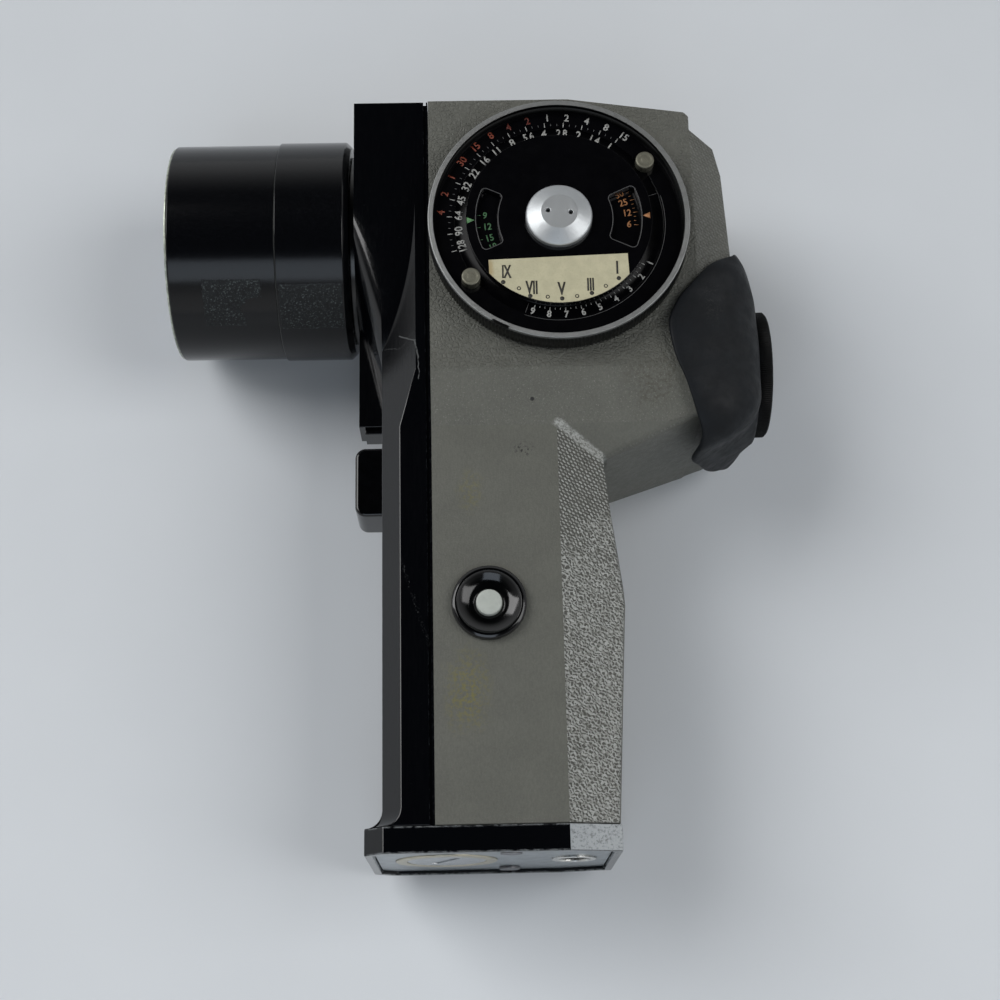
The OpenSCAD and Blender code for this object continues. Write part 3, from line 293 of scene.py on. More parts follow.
def cover_plastic():
    """Olive grey moulded plastic with a pressed leather grain, dirt and dark specks, and painted
    highlights and painted shade on the grain of its slanted faces.
    """
    g = Graph("cover_grey", 0.45)
    y = g.coordinate(1)
    level = g.span(g.maths("ABSOLUTE", g.facing((0, 0, 1))), 0.5, 0.6)
    back = g.times(g.span(g.facing((1, 0, 0)), 0.16, 0.26), level, g.span(y, 14, 10, 0.2, 1))
    down = g.facing((0, -1, 0))
    band = g.times(g.span(down, 0.15, 0.25), g.span(down, 0.42, 0.36))
    head = g.span(y, 16.5, 18)

    # Rows of small scales on the back, fading into an uneven grain towards the foot
    lower = g.span(g.plus(y, g.span(g.noise(6, 2), 0.3, 0.7, -6, 6)), -8, -22)
    warp = g.plus(g.times(lower, 1.5), 0.35)
    across, up = (g.plus(value, g.times(g.minus(g.noise(size, 2), 0.5), warp))
                  for value, size in ((g.coordinate(0), 1), (y, 1.3)))
    slant = g.maths("SINE", g.times(g.minus(across, up), TURN / 2.5))
    other = g.maths("SINE", g.times(g.plus(across, up), TURN / 1.05))
    tops = g.span(g.plus(g.times(slant, other), g.times(lower, 0.28)), -0.05, 0.3)

    fine = g.noise(0.36, 4, 0.6)
    strokes = g.noise(0.42, 3, 0.6, 0.6, (1, 0.4, 1))
    hide = g.span(g.cells(0.85, "DISTANCE_TO_EDGE", (0.8, 1, 1)), 0.02, 0.2)
    g.bump(fine, 0.09)
    g.bump(g.times(strokes, g.plus(g.times(band, 0.9), g.times(head, 0.6), True)), 0.17)
    g.bump(g.times(hide, head, g.span(g.noise(8, 2), 0.3, 0.5, 0.3, 1)), 0.12)
    g.bump(g.times(tops, back), 0.1)

    base = (0.1, 0.101, 0.086)
    g.ground(base, 9, 5, 0.92, 1.05, 0.35, 0.65)
    g.paint(scaled(base, 1.35), g.span(fine, 0.35, 0.7, 0, 0.4))
    g.paint(scaled(base, 0.66), g.span(strokes, 0.4, 0.62, 0, 0.3))
    # Painted shade between the scales on the grip's back and painted highlights on their tops, where
    # that face catches the light
    g.paint(scaled(base, 0.4), back, g.span(tops, 0.5, 0, 0, 0.7))
    g.paint((0.38, 0.39, 0.37), back, g.span(tops, 0.5, 1, 0, 0.7),
            g.span(g.noise(0.7), 0.35, 0.6, 0.35, 1.2))
    olive = g.spot((-1.5, -49, 45), (6, 11, 20), 0.9, 0.5, 3)
    upper_olive = g.spot((-0.5, -8, 45), (3.5, 6, 20), 0.9, 0.5, 3)
    g.paint((0.15, 0.135, 0.03), g.plus(olive, g.times(upper_olive, 0.6), True),
            g.span(g.noise(0.9, 5, 0.65), 0.44, 0.6, 0, 0.75))
    dirt = g.plus(g.spot((38, 14, 48.5), (9, 9, 8), 0.9, 0.5, 3),
                  g.spot((36, -2, 44), (8, 7, 10), 0.9, 0.5, 3), True)
    g.paint((0.045, 0.04, 0.025), dirt, g.span(g.noise(0.7, 5, 0.65), 0.42, 0.62, 0, 0.6))
    specks = g.times(g.spot((10.6, 0.9, 47), (3.2, 2.4, 5), 0.7), g.span(g.noise(0.55), 0.56, 0.6))
    speck = g.spot((12.6, 11.2, 46.8), (0.55, 0.5, 3), 0.4, 0.3, 0.6)
    g.paint((0.006, 0.006, 0.006), g.most(specks, speck))
    g.paint((0.36, 0.37, 0.35), g.stroke((17.6, 6.6), (27.6, -0.9), 1.2),
            g.span(g.noise(0.6, 5, 0.7, 0.5), 0.42, 0.56, 0.2, 0.9))
    # Painted glints: pale flecks on the sloped band, where it catches the light
    g.paint((0.26, 0.265, 0.24), band, g.span(g.noise(0.32, 4, 0.7), 0.58, 0.66, 0, 0.5))
    rough = g.span(g.noise(1.5, 4), 0.3, 0.7, 0.46, 0.58)
    return g.finish(g.minus(rough, g.times(back, 0.2)))


def frame_black():
    """Glossy black housing with hair scratches, dust and pale lint."""
    g = Graph("black_frame", tone=(0.0009, 0.0011, 0.0018))
    lines = g.noise(0.22, 5, 0.65, 0.4, (1, 0.06, 1))
    hair = g.span(g.noise(0.4, 6, 0.72, 2.2, (1, 0.3, 1)), 0.64, 0.68)
    dust = g.span(g.cells(1.3), 0.07, 0.02)
    lint = g.most(g.stroke((-14.6, 26.2), (-11.4, 23.7), 0.16),
                  g.stroke((-11.4, 23.7), (-10.6, 20), 0.2),
                  g.stroke((-10.6, 20), (-10.5, 15.5), 0.15))
    lint = g.times(lint, g.span(g.noise(0.7, 4, 0.6, 1), 0.36, 0.5, 0.25, 1))
    fibre = g.most(g.stroke((-17.8, 24.6), (-14.3, 23.3), 0.08),
                   g.stroke((-14.3, 23.3), (-11.6, 26), 0.08))
    scratch = g.times(g.stroke((-14.5, -21.8), (-9, -39.5), 0.5),
                      g.span(g.noise(0.6, 5, 0.7, 2), 0.56, 0.62, 0, 0.5))
    pale = g.plus(g.most(lint, g.times(fibre, 0.3)), g.plus(g.times(dust, 0.16), scratch), True)
    g.paint((0.02, 0.022, 0.024), hair, 0.12)
    g.paint((0.2, 0.21, 0.21), pale, 0.28)
    g.paint((0.05, 0.055, 0.06), g.worn_edges(0.25), g.span(g.noise(1.2, 4), 0.5, 0.65, 0, 0.35))
    g.bump(g.plus(lines, hair), 0.0015)
    return g.finish(g.plus(g.span(lines, 0.3, 0.7, 0.1, 0.17), g.times(pale, 0.4)))


def barrel_paint():
    """Satin black paint with two worn, speckled patches and a pale line at the joint."""
    g = Graph("barrel_black", 0.3, (0.0014, 0.0016, 0.0022))
    ragged = g.minus(g.noise(0.8, 4), 0.5)
    x = g.plus(g.coordinate(0), g.times(ragged, 0.8))
    turn = g.maths("ARCTAN2", g.minus(g.coordinate(2), LENS[1]), g.minus(g.coordinate(1), LENS[0]))
    turn = g.plus(g.times(turn, 360 / TURN), g.times(ragged, 2))
    front = g.times(g.between(x, -56.6, -44.2, 0.06), g.between(turn, 129, 156, 0.25))
    corner = g.spot((-44.8, 36, 36.5), (4.2, 4, 4.2), 0.1, 0.5, 1.5)
    rear = g.times(g.between(x, -40.4, -26.9, 0.06), g.between(turn, 132, 158, 0.25))
    patches = g.most(g.minus(front, corner, True), rear)
    speckle = g.noise(0.5, 5, 0.75, 0, (1, 0.6, 0.6))
    fine = g.noise(0.22, 2)
    g.paint((0.007, 0.008, 0.011), g.span(fine, 0.5, 0.75, 0, 0.4))
    g.paint((0.006, 0.008, 0.009), patches, g.span(speckle, 0.4, 0.6))
    g.paint((0.07, 0.085, 0.085), patches, g.span(g.noise(0.42, 4, 0.7), 0.56, 0.64))
    g.paint((0.16, 0.17, 0.16), g.between(g.coordinate(0), -41.06, -40.9, 0.03), 0.6)
    g.paint((0.07, 0.08, 0.08), g.worn_edges(0.25), 0.25)
    g.bump(g.plus(fine, g.times(patches, speckle, 4)), 0.008)
    return g.finish(g.plus(g.span(fine, 0.3, 0.7, 0.13, 0.2), g.times(patches, 0.4)))


def eyecup_rubber():
    """Dark moulded rubber with a soft bloom, scuffs and wrinkles."""
    g = Graph("rubber_dark", 0.22)
    g.ground((0.0028, 0.004, 0.0056), 5, 5, 0.82, 1.2)
    g.paint((0.05, 0.05, 0.046), g.spot((50, 31, 44), (4, 9, 9), 0.7, 0.4, 2),
            g.span(g.noise(0.5, 5, 0.7), 0.5, 0.62, 0, 0.5))
    g.paint((0.045, 0.05, 0.05), g.worn_edges(0.5), 0.35)
    g.bump(g.noise(2.6, 3, 0.5, 0.6, (1, 1, 0.6)), 0.1)
    g.bump(g.noise(0.3, 4, 0.6), 0.012)
    return g.finish(g.span(g.noise(2.2, 4), 0.3, 0.7, 0.5, 0.64))


def foot_paint():
    """Black foot whose paint is rubbed through to pale metal along its edges."""
    g = Graph("foot_black", 0.4, (0.001, 0.0013, 0.002))
    chips = g.times(g.worn_edges(0.5, 0.01, 0.12), g.span(g.noise(1.6, 5, 0.65), 0.42, 0.54))
    rear = g.times(g.span(g.facing((1, 0, 0.3)), 0.35, 0.5),
                   g.span(g.noise(1.8, 5, 0.65), 0.3, 0.42, 0.25, 1),
                   g.span(g.coordinate(2), 30, 32))
    rubbed = g.times(g.spot((22.4, -77.6, 39), (6.2, 3.6, 6), 0.25, 0.25, 2),
                     g.span(g.noise(1.2, 5, 0.7), 0.34, 0.46, 0.1, 1))
    bare = g.most(chips, rear, rubbed)
    grit = g.span(g.noise(0.5, 5, 0.7), 0.3, 0.7)
    g.paint((0.33, 0.35, 0.36), bare)
    g.paint((0.08, 0.09, 0.09), bare, g.span(grit, 0.5, 0.9, 0, 0.6))
    g.bump(g.plus(g.noise(0.25, 4), g.times(bare, -0.8)), 0.012)
    return g.finish(g.span(bare, 0, 1, 0.14, 0.42))


def lens_glass():
    """Coated glass with a little dust and haze."""
    g = Graph("lens_glass", tone=(0.93, 0.95, 1), Transmission_Weight=1, IOR=1.5, Coat_Weight=0.6,
              Coat_Roughness=0.03, Coat_Tint=(0.62, 0.7, 1, 1))
    g.paint((0.5, 0.5, 0.5), g.span(g.cells(1.6), 0.06, 0.02), 0.5)
    return g.finish(g.span(g.noise(3, 4), 0.3, 0.8, 0, 0.05))


def card_paper():
    """Cream card, aged and slightly stained at its edges."""
    g = Graph("card_cream", 0.3)
    base = (0.47, 0.44, 0.3)
    g.ground(base, 2, 5, 0.93, 1.05)
    g.paint(scaled(base, 0.72), g.span(g.noise(0.4, 4), 0.5, 0.7, 0, 0.3))
    edge = g.spot((DIAL.x - 14.6, DIAL.y - 11.6, DISC_TOP), (1.2, 3.6, 2), 0.8, 0.3, 1)
    g.paint((0.3, 0.2, 0.07), edge, 0.6)
    g.bump(g.noise(0.18, 4), 0.01)
    return g.finish(0.55)


def dial_enamel():
    """Black enamel of the dial's discs, slightly cloudy and dusty."""
    g = Graph("dial_black", 0.45, (0.0009, 0.0009, 0.0014))
    g.paint((0.0013, 0.0013, 0.0019), g.span(g.noise(6, 5), 0.3, 0.7))
    g.paint((0.2, 0.2, 0.18), g.span(g.cells(1.1), 0.05, 0.02), 0.04)
    g.bump(g.noise(0.3, 4), 0.0008)
    return g.finish(g.span(g.noise(2.3), 0.3, 0.7, 0.15, 0.19))


def mark_paint(name, colour):
    """Paint of the printed marks, slightly worn."""
    g = Graph(name)
    g.ground(colour, 0.5, 4, 0.6, 1)
    g.bump(g.noise(0.2), 0.004)
    return g.finish(0.5)


# Colour, roughness, metallic, mottle and its size, depth of the grain; for some also the grain's
# size and the specular level
PLAIN = {
    "screw_dark": ((0.2, 0.2, 0.21), 0.38, 1, 0.3, 1, 0.01),
    "cell_metal": ((0.6, 0.6, 0.58), 0.3, 1, 0.1, 3, 0.004),
    "inner_black": ((0.008, 0.008, 0.008), 0.6, 0, 0.2, 4, 0.02),
    "spring_steel": ((0.56, 0.57, 0.57), 0.28, 1, 0.1, 1, 0.004),
    "bush_steel": ((0.62, 0.62, 0.6), 0.3, 1, 0.15, 1, 0.006),
    "rim_pale": ((0.42, 0.45, 0.38), 0.36, 0.85, 0.3, 1.5, 0.02),
    "neck_satin": ((0.0012, 0.0014, 0.002), 0.2, 0, 0.2, 2, 0.004),
    "mirror_silver": ((0.9, 0.9, 0.91), 0.04, 1, 0.02, 4, 0.0005),
    "screen_ground": ((0.62, 0.64, 0.6), 0.7, 0, 0.05, 2, 0.01, 0.1),
    "cell_gold": ((0.6, 0.45, 0.16), 0.35, 1, 0.1, 1, 0.004),
    "magnet_grey": ((0.16, 0.16, 0.17), 0.45, 0.8, 0.2, 1.5, 0.02),
    "needle_red": ((0.42, 0.03, 0.01), 0.4, 0, 0.1, 1, 0.004),
    "trigger_black": ((0.0008, 0.0009, 0.0013), 0.12, 0, 0.3, 2, 0.002, 0.5),
    "switch_brown": ((0.05, 0.03, 0.015), 0.45, 0, 0.2, 2, 0.01),
    "guard_black": ((0.0007, 0.0008, 0.001), 0.13, 0, 0.3, 1.2, 0.002, 0.25),
    "button_white": ((0.4, 0.425, 0.39), 0.42, 0, 0.06, 1.5, 0.006, 0.25),
    "board_green": ((0.03, 0.09, 0.03), 0.4, 0, 0.15, 2, 0.01),
    "component_blue": ((0.05, 0.06, 0.16), 0.4, 0, 0.2, 2, 0.01),
    "knurl_black": ((0.0014, 0.0016, 0.0015), 0.34, 0, 0.4, 1, 0.006, 0.3, 0.3),
    "ring_black": ((0.0008, 0.0009, 0.001), 0.42, 0, 0.3, 1.5, 0.004, 0.3, 0.1),
    "tube_black": ((0.003, 0.0031, 0.0035), 0.34, 0, 0.25, 2, 0.006),
    "rim_black": ((0.0008, 0.0008, 0.0012), 0.18, 0, 0.2, 4, 0.001, 0.3, 0.1),
}
MARKS = {
    "mark_white": (0.42, 0.42, 0.4), "mark_red": (0.3, 0.06, 0.03),
    "mark_dim_red": (0.15, 0.03, 0.02), "mark_faint": (0.07, 0.07, 0.07),
    "mark_dim": (0.1, 0.1, 0.1), "mark_dim_green": (0.06, 0.17, 0.07),
    "mark_green": (0.1, 0.26, 0.1), "mark_orange": (0.36, 0.15, 0.05),
    "mark_ink": (0.02, 0.018, 0.012),
}
MADE = [
    cover_plastic(), frame_black(), barrel_paint(), eyecup_rubber(), foot_paint(), lens_glass(),
    card_paper(), dial_enamel(),
    brushed("plate_metal", (0.36, 0.39, 0.41), 0.36, 0),
    brushed("collar_metal", (0.5, 0.47, 0.38), 0.33, 0),
    brushed("battery_cap", (0.52, 0.54, 0.56), 0.3, 0),
    brushed("coil_copper", (0.6, 0.24, 0.1), 0.35, 1, 0.5, 0.03),
    turned_metal("bezel_silver", (0.3, 0.305, 0.3), 0.46, 0.05, 0.012, 0.22, bezel_black),
    turned_metal("pin_nickel", (0.2, 0.195, 0.155), 0.55, 0.2, 0.01, 0.25),
    turned_metal("hub_silver", (0.52, 0.54, 0.55), 0.44, 0.07, 0.014, 0.05),
    *(plain(name, *look) for name, look in PLAIN.items()),
    *(mark_paint(name, colour) for name, colour in MARKS.items()),
]
MATERIALS = {material.name.split(".")[0]: material for material in MADE}
SLOTS = {node: obj.data.materials[0].name.split(".")[0] for node, obj in frame["nodes"].items()
         if obj.data.materials}


# ---- mesh helpers

def body_of(node):
    for body, nodes in frame["record"]["behaviour"]["bodies"].items():
        if node in nodes:
            return body
    raise KeyError(node)


def new_object(name, data):
    obj = bpy.data.objects.new(name, data)
    bpy.context.scene.collection.objects.link(obj)
    return obj


def breadth(face):
    """About the width of a face across its longest edge."""
    return face.calc_area() / max(edge.calc_length() for edge in face.edges)


def mark_sharp(bm, sharp):
    """Marks edges as sharp from that angle on, and from 8 degrees between two broad faces."""
    for edge in bm.edges:
        faces = edge.link_faces
        turn = math.degrees(edge.calc_face_angle(0)) if len(faces) == 2 else 0
        edge.smooth = not (turn > sharp or (turn > 8 and min(map(breadth, faces)) > 0.8))


def add_piece(name, bm, body, slot, replaces=(), material=None, sharp=30):
    """Makes an object from a mesh in millimetres and gives it its body, slot and material."""
    mark_sharp(bm, sharp)
    bmesh.ops.scale(bm, vec=(MM, MM, MM), verts=bm.verts)
    bmesh.ops.remove_doubles(bm, verts=bm.verts, dist=2e-7)
    bmesh.ops.recalc_face_normals(bm, faces=bm.faces)
    for face in bm.faces:
        face.smooth = True
    mesh = bpy.data.meshes.new(name)
    bm.to_mesh(mesh)
    bm.free()
    mesh.materials.append(MATERIALS[material or slot])
    obj = new_object(name, mesh)
    if replaces:
        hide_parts(*replaces)
    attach(obj, body)
    return obj


def weighted(obj):
    """Shades large faces flat beside their rounded edges."""
    modifier = obj.modifiers.new("flat faces", "WEIGHTED_NORMAL")
    modifier.keep_sharp = True


def polar(radius, angle):
    return radius * math.cos(angle), radius * math.sin(angle)


def circle(centre, radius, steps=20, z=0):
    return [centre + Vector((*polar(radius, TURN * k / steps), z)) for k in range(steps)]


def at_dial(radius, degrees, z=0):
    """The point at that radius and angle round the dial's centre."""
    x, y = polar(radius, math.radians(degrees))
    return Vector((DIAL.x + x, DIAL.y + y, z))


def rounded(corners):
    """Closed outline of (a, b, fillet) corners as points, with an arc at each fillet."""
    points, steps = [], 4
    for i, (a, b, fillet) in enumerate(corners):
        corner = Vector((a, b))
        if not fillet:
            points.append(corner)
            continue
        back, ahead = ((Vector(corners[j % len(corners)][:2]) - corner).normalized()
                       for j in (i - 1, i + 1))
        half = back.angle(ahead) / 2
        centre = corner + (back + ahead).normalized() * fillet / math.sin(half)
        first, last = (math.atan2(*(corner + way * fillet / math.tan(half) - centre).yx)
                       for way in (back, ahead))
        turn = (last - first + math.pi) % TURN - math.pi
        points += [centre + Vector(polar(fillet, first + turn * k / steps))
                   for k in range(steps + 1)]
    return points


def on_axis(axis, centre, along, radius, angle):
    """The point at that distance along an axis, radius and angle."""
    x, y = polar(radius, angle)
    u, v = centre[0] + x, centre[1] + y
    return {"X": (along, u, v), "Y": (u, along, v), "Z": (u, v, along)}[axis]


def join(bm, rings, centred=()):
    """Faces from each ring of vertices to the next. centred holds the numbers of the vertices
    that lie on the axis."""
    for here, there in zip(rings, rings[1:] + rings[:1]):
        for i in range(len(here)):
            j = (i + 1) % len(here)
            face = [here[i], here[j]] + [there[k] for k in (j, i) if k not in centred]
            if len(face) > 2:
                bm.faces.new(face)


def lathe(bm, profile, axis, centre, steps=192, ribs=0, depth=0):
    """Turns a closed profile of (along, radius) points. With ribs, its points 2 and 3 dip by
    depth between them."""
    steps = 4 * ribs or steps
    rings = []
    for k in range(steps):
        dip = depth if k % 4 > 1 else 0
        radii = [radius - dip * (i in (2, 3)) for i, (along, radius) in enumerate(profile)]
        rings.append([bm.verts.new(on_axis(axis, centre, along, radius, TURN * k / steps))
                      for (along, _), radius in zip(profile, radii)])
    join(bm, rings, [i for i, (along, radius) in enumerate(profile) if radius < 1e-6])
    return bm


def turned(name, node, corners, axis, centre, steps=192):
    """A turned piece that replaces a CAD node, from corners with fillets."""
    bm = lathe(bmesh.new(), rounded(corners), axis, centre, steps)
    weighted(add_piece(name, bm, body_of(node), SLOTS[node], [node]))


def outer_edges(bm, wanted):
    """Convex edges of 20 degrees and more for which wanted(middle, normals) is true."""
    found = []
    for edge in bm.edges:
        if len(edge.link_faces) != 2 or not edge.is_convex:
            continue
        if math.degrees(edge.calc_face_angle(0)) < 20 or edge.calc_length() < 0.05:
            continue
        point = (edge.verts[0].co + edge.verts[1].co) / 2
        if wanted(point, [face.normal for face in edge.link_faces]):
            found.append(edge)
    return found


def dressed(name, node, *softened):
    """The node's own shape, with its flat faces joined up and its outer edges rounded. softened
    holds (wanted, width, segments)."""
    bm = bmesh.new()
    bm.from_mesh(frame["nodes"][node].data)
    bmesh.ops.remove_doubles(bm, verts=bm.verts, dist=1e-6)
    bmesh.ops.dissolve_limit(bm, angle_limit=math.radians(0.6), verts=bm.verts, edges=bm.edges)
    bmesh.ops.scale(bm, vec=(1 / MM,) * 3, verts=bm.verts)
    bm.normal_update()
    for wanted, width, segments in softened:
        bmesh.ops.bevel(bm, geom=outer_edges(bm, wanted), offset=width, segments=segments,
                        profile=0.5, affect="EDGES")
        bm.normal_update()
    weighted(add_piece(name, bm, body_of(node), SLOTS[node], [node]))


def anywhere(point, normals):
    return True


# ---- housing

def off_middle(point, distance=12):
    """Whether a point lies that far from the housing's middle plane, as its side edges do."""
    return abs(point.z - MID_Z) > distance


def cover_outside(point, normals):
    return off_middle(point, 1.5) and point.x > JOINT_X + 0.4


def under_head(point, normals):
    """Edges round the head's underside, between the grip and the eyepiece."""
    return (cover_outside(point, normals) and point.x > 27 and -1 < point.y < 12
            and min(n.y for n in normals) < -0.6 and off_middle(point))


def grip_back(point, normals):
    """Edges between the grip's slanted faces and its back."""
    return (cover_outside(point, normals) and point.y < -3
            and max(n.x for n in normals) > 0.9 and off_middle(point))


def frame_outside(point, normals):
    """Edges of the frame's lower part, away from the joint with the covers."""
    return point.x < JOINT_X - 1.2 and off_middle(point, 1) and point.y < 14


def trigger_front(point, normals):
    return point.x < -17


def make_housing():
    for side in ("left_cover", "right_cover"):
        dressed(side + "_shell", side, (under_head, 1.4, 5), (grip_back, 0.9, 4),
                (cover_outside, 0.3, 3))
    dressed("frame_shell", "front_frame", (frame_outside, 0.16, 3))
    dressed("foot_shell", "base_foot", (anywhere, 0.22, 3))
    dressed("trigger_cap", "trigger_button", (trigger_front, 0.7, 4))


# ---- lens barrel

def zigzag(count, start, pitch, valley, crest, top):
    """Points (along, radius, 0) of a thread or of baffles. top is the crest's place in a turn."""
    return [(start + pitch * k + place, radius, 0) for k in range(count)
            for place, radius in ((0, valley), (top, crest))]


def tube(node):
    """Both ends and the outer radius of a CAD node round the lens's axis."""
    low, high = span(node)
    return low.x, high.x, (high.y - low.y) / 2


def make_barrel():
    mouth, end, r = tube("barrel_front")
    joint = tube("barrel_rear")[0] - 0.05
    bore, back, tail = 21.5, 20.9, 21.35
    thread = zigzag(7, mouth + 0.35, 0.42, bore - 0.02, bore + 0.28, 0.21)
    baffles = zigzag(9, end - 0.6, -1.15, 20.6, 20.02, -0.5)
    seat = mouth + 8.2
    turned("barrel_front_tube", "barrel_front", [
        (mouth, r, 0.3), (joint, r, 0.15), (joint, tail, 0), (end, tail, 0.2), (end, 20.4, 0),
        *baffles, (seat, 20, 0), (seat, back, 0), (mouth + 3.2, back, 0),
        (mouth + 3.2, bore - 0.02, 0), *thread[::-1], (mouth, bore + 0.2, 0.15)], "X", LENS)

    start, end, r = tube("barrel_rear")
    socket, neck, taper, wall = 21.4, 17.95, start + 14.35, end - 2.9
    turned("barrel_rear_tube", "barrel_rear", [
        (start, r, 0.25), (taper, r, 0.3), (taper + 0.3, r - 0.22, 0.1), (end, r - 1.2, 0.35),
        (end, neck, 0.2), (wall, neck, 0), (wall, socket, 0), (start + 3.1, socket, 0),
        (start, socket, 0.1)], "X", LENS)

    start, end, r = tube("rim_ring")
    inside = r - 1.4
    turned("rim_bead", "rim_ring", [
        (start, inside, 0.22), (start, r, 0.22), (end, r, 0.22), (end, inside, 0.22)], "X", LENS)

    start, end, r = tube("lens_retainer")
    inside = 20.05
    turned("retainer_ring", "lens_retainer", [
        (start, r, 0.08), (end, r, 0), (end, inside, 0), (start + 0.7, inside, 0.1),
        (start, inside + 0.4, 0.08)], "X", LENS)


# ---- check button

def make_check():
    """The round guard with its bowl, and the button in it."""
    low, high = span("check_guard")
    top = high.z
    face = COVER_HIGH.z - 3.5
    stem, flange, hole = 5.5, 7.5, 2.65
    bowl = [(top - 0.22 - 1.2 * math.sin(math.pi / 2 * k / 8), 6.25 - 2.85 * k / 8)
            for k in range(9)]
    profile = rounded([(low.z, hole, 0), (low.z, stem, 0), (face + 0.1, stem, 0),
                       (face + 0.1, flange, 0.1), (top - 0.35, flange - 0.05, 0.4),
                       (top, 6.8, 0.3), (top - 0.04, 6.4, 0.12)])
    bm = lathe(bmesh.new(), profile + bowl + [(face + 0.3, 2.95), (face + 0.2, hole)], "Z", CHECK)
    weighted(add_piece("guard_ring", bm, "body", "guard_black", ["check_guard"]))
    low, high = span("check_button")
    collar, r = 3.5, 2.6
    turned("check_cap", "check_button", [
        (low.z, 0, 0), (low.z, collar, 0.1), (low.z + 1.3, collar, 0.1), (low.z + 1.3, r, 0),
        (high.z - 0.1, r, 0.3), (high.z, 1.4, 0.8), (high.z, 0, 0)], "Z", CHECK)


# ---- dial

def make_dial():
    """The knurled band, the bezel and the two pins."""
    low, high = span("dial_knurled_ring")
    r, inside = BAND_R, 26.1
    profile = [(low.z, inside), (low.z, r - 0.5), (low.z + 0.4, r), (high.z - 0.35, r),
               (high.z, r - 0.3), (high.z, inside)]
    bm = lathe(bmesh.new(), profile, "Z", DIAL, ribs=210, depth=0.2)
    add_piece("knurled_band", bm, "dial_ring", "knurl_black", ["dial_knurled_ring"], sharp=25)
    low, high = span("dial_bezel")
    shoulder = high.z - 0.12
    turned("bezel_ring", "dial_bezel", [
        (low.z, BEZEL_IN, 0), (low.z, BEZEL_OUT, 0.1), (shoulder, BEZEL_OUT, 0.1),
        (high.z, BEZEL_OUT - 0.15, 0.1), (high.z, BEZEL_IN + 0.1, 0.08),
        (shoulder, BEZEL_IN, 0.06)], "Z", DIAL)
    bm = bmesh.new()
    low, high = span("dial_pins")
    foot, groove = RING_TOP + 0.02, high.z - 0.1
    profile = rounded([(low.z, 0, 0), (low.z, 0.5, 0), (foot, 0.5, 0), (foot, 1.95, 0.05),
                       (high.z, 1.95, 0.3), (high.z, 1.35, 0.05), (groove, 1.25, 0.05),
                       (groove, 0.75, 0.05), (high.z, 0.65, 0.05), (high.z, 0, 0)])
    for degrees in (35.3, 215.3):
        lathe(bm, profile, "Z", at_dial(22.6, degrees), 64)
    weighted(add_piece("pin_heads", bm, "dial_ring", "pin_nickel", ["dial_pins"]))


# Windows in the plate: middle angle, half width in degrees, inner and outer radius
WINDOWS = ((0, 11.4, 17.1, 24.45), (180, 12.8, 17.1, 24.45))


def window_points(middle_angle, r0, r1, half, grow=0):
    """Outline of a window in the plate: two arcs and two radial sides with rounded corners."""
    steps, along = 6, 24
    r0, r1, fillet = r0 - grow, r1 + grow, 0.8 + grow
    half += math.degrees(2 * grow / (r0 + r1))
    turn_in = math.degrees(math.asin(fillet / (r0 + fillet)))
    turn_out = math.degrees(math.asin(fillet / (r1 - fillet)))
    corners = ((r1 - fillet, half - turn_out, half - turn_out, half + 90),
               (r0 + fillet, half - turn_in, half + 90, half - turn_in + 180))

    def side(sign):
        points = []
        for radius, place, first, last in corners:
            centre = at_dial(radius, middle_angle + sign * place)
            for k in range(steps + 1):
                a = math.radians(middle_angle + sign * (first + (last - first) * k / steps))
                points.append(centre + Vector((*polar(fillet, a), 0)))
        return points

    shares = [1 - 2 * k / along for k in range(1, along)]
    inner = [at_dial(r0, middle_angle + (half - turn_in) * s) for s in shares]
    outer = [at_dial(r1, middle_angle - (half - turn_out) * s) for s in shares]
    return side(1) + inner + side(-1)[::-1] + outer


def add_curve(bm, curve, place):
    """Adds the form of a curve or text to a mesh."""
    holder = bpy.data.objects.new("form", curve)
    mesh = bpy.data.meshes.new_from_object(holder)
    mesh.transform(place)
    bm.from_mesh(mesh)
    bpy.data.objects.remove(holder)
    bpy.data.curves.remove(curve)
    bpy.data.meshes.remove(mesh)


def make_calculator():
    """The calculator disc: a raised plate with two windows, its wall and the rim below it."""
    low, high = span("calculator_disc")
    under = high.z - 1.2
    edge, hub_hole, bore = 0.05, 3.3, 18.2
    curve = bpy.data.curves.new("plate", "CURVE")
    curve.dimensions = "2D"
    curve.fill_mode = "BOTH"
    centre = at_dial(0, 0)
    for outline in (circle(centre, PLATE_R, 192), circle(centre, hub_hole, 192),
                    *(window_points(*window) for window in WINDOWS)):
        spline = curve.splines.new("POLY")
        spline.points.add(len(outline) - 1)
        for point, place in zip(spline.points, outline):
            point.co = (place.x, place.y, 0, 1)
        spline.use_cyclic_u = True
    curve.extrude = (high.z - under) / 2 - edge
    curve.bevel_depth = edge
    curve.bevel_resolution = 2
    curve.offset = -edge
    bm = bmesh.new()
    add_curve(bm, curve, Matrix.Translation((0, 0, (high.z + under) / 2)))
    bmesh.ops.remove_doubles(bm, verts=bm.verts, dist=0.0005)
    weighted(add_piece("calculator_plate", bm, "dial_disc", "dial_black", ["calculator_disc"]))
    wall, ledge = PLATE_R - 0.02, under + 0.1
    profile = rounded([(low.z, bore, 0), (low.z, RIM_R, 0), (RIM_TOP, RIM_R, 0.06),
                       (RIM_TOP, wall, 0), (ledge, wall, 0), (ledge, bore, 0)])
    bm = lathe(bmesh.new(), profile, "Z", DIAL)
    weighted(add_piece("calculator_rim", bm, "dial_disc", "dial_black", material="rim_black"))


def make_key_hole_shade():
    """Painted shade: near-black discs at the bottoms of the two key holes in the hub."""
    bm = bmesh.new()
    top = span("hub_nut")[1].z - 0.96
    r = 0.44
    for degrees in (-6, 174):
        lathe(bm, [(top - 0.04, 0), (top - 0.04, r), (top, r), (top, 0)], "Z",
              at_dial(2.35, degrees), 24)
    add_piece("key_hole_shade_discs", bm, "body", "inner_black")


# ---- dial marks

MARK_H = 0.03


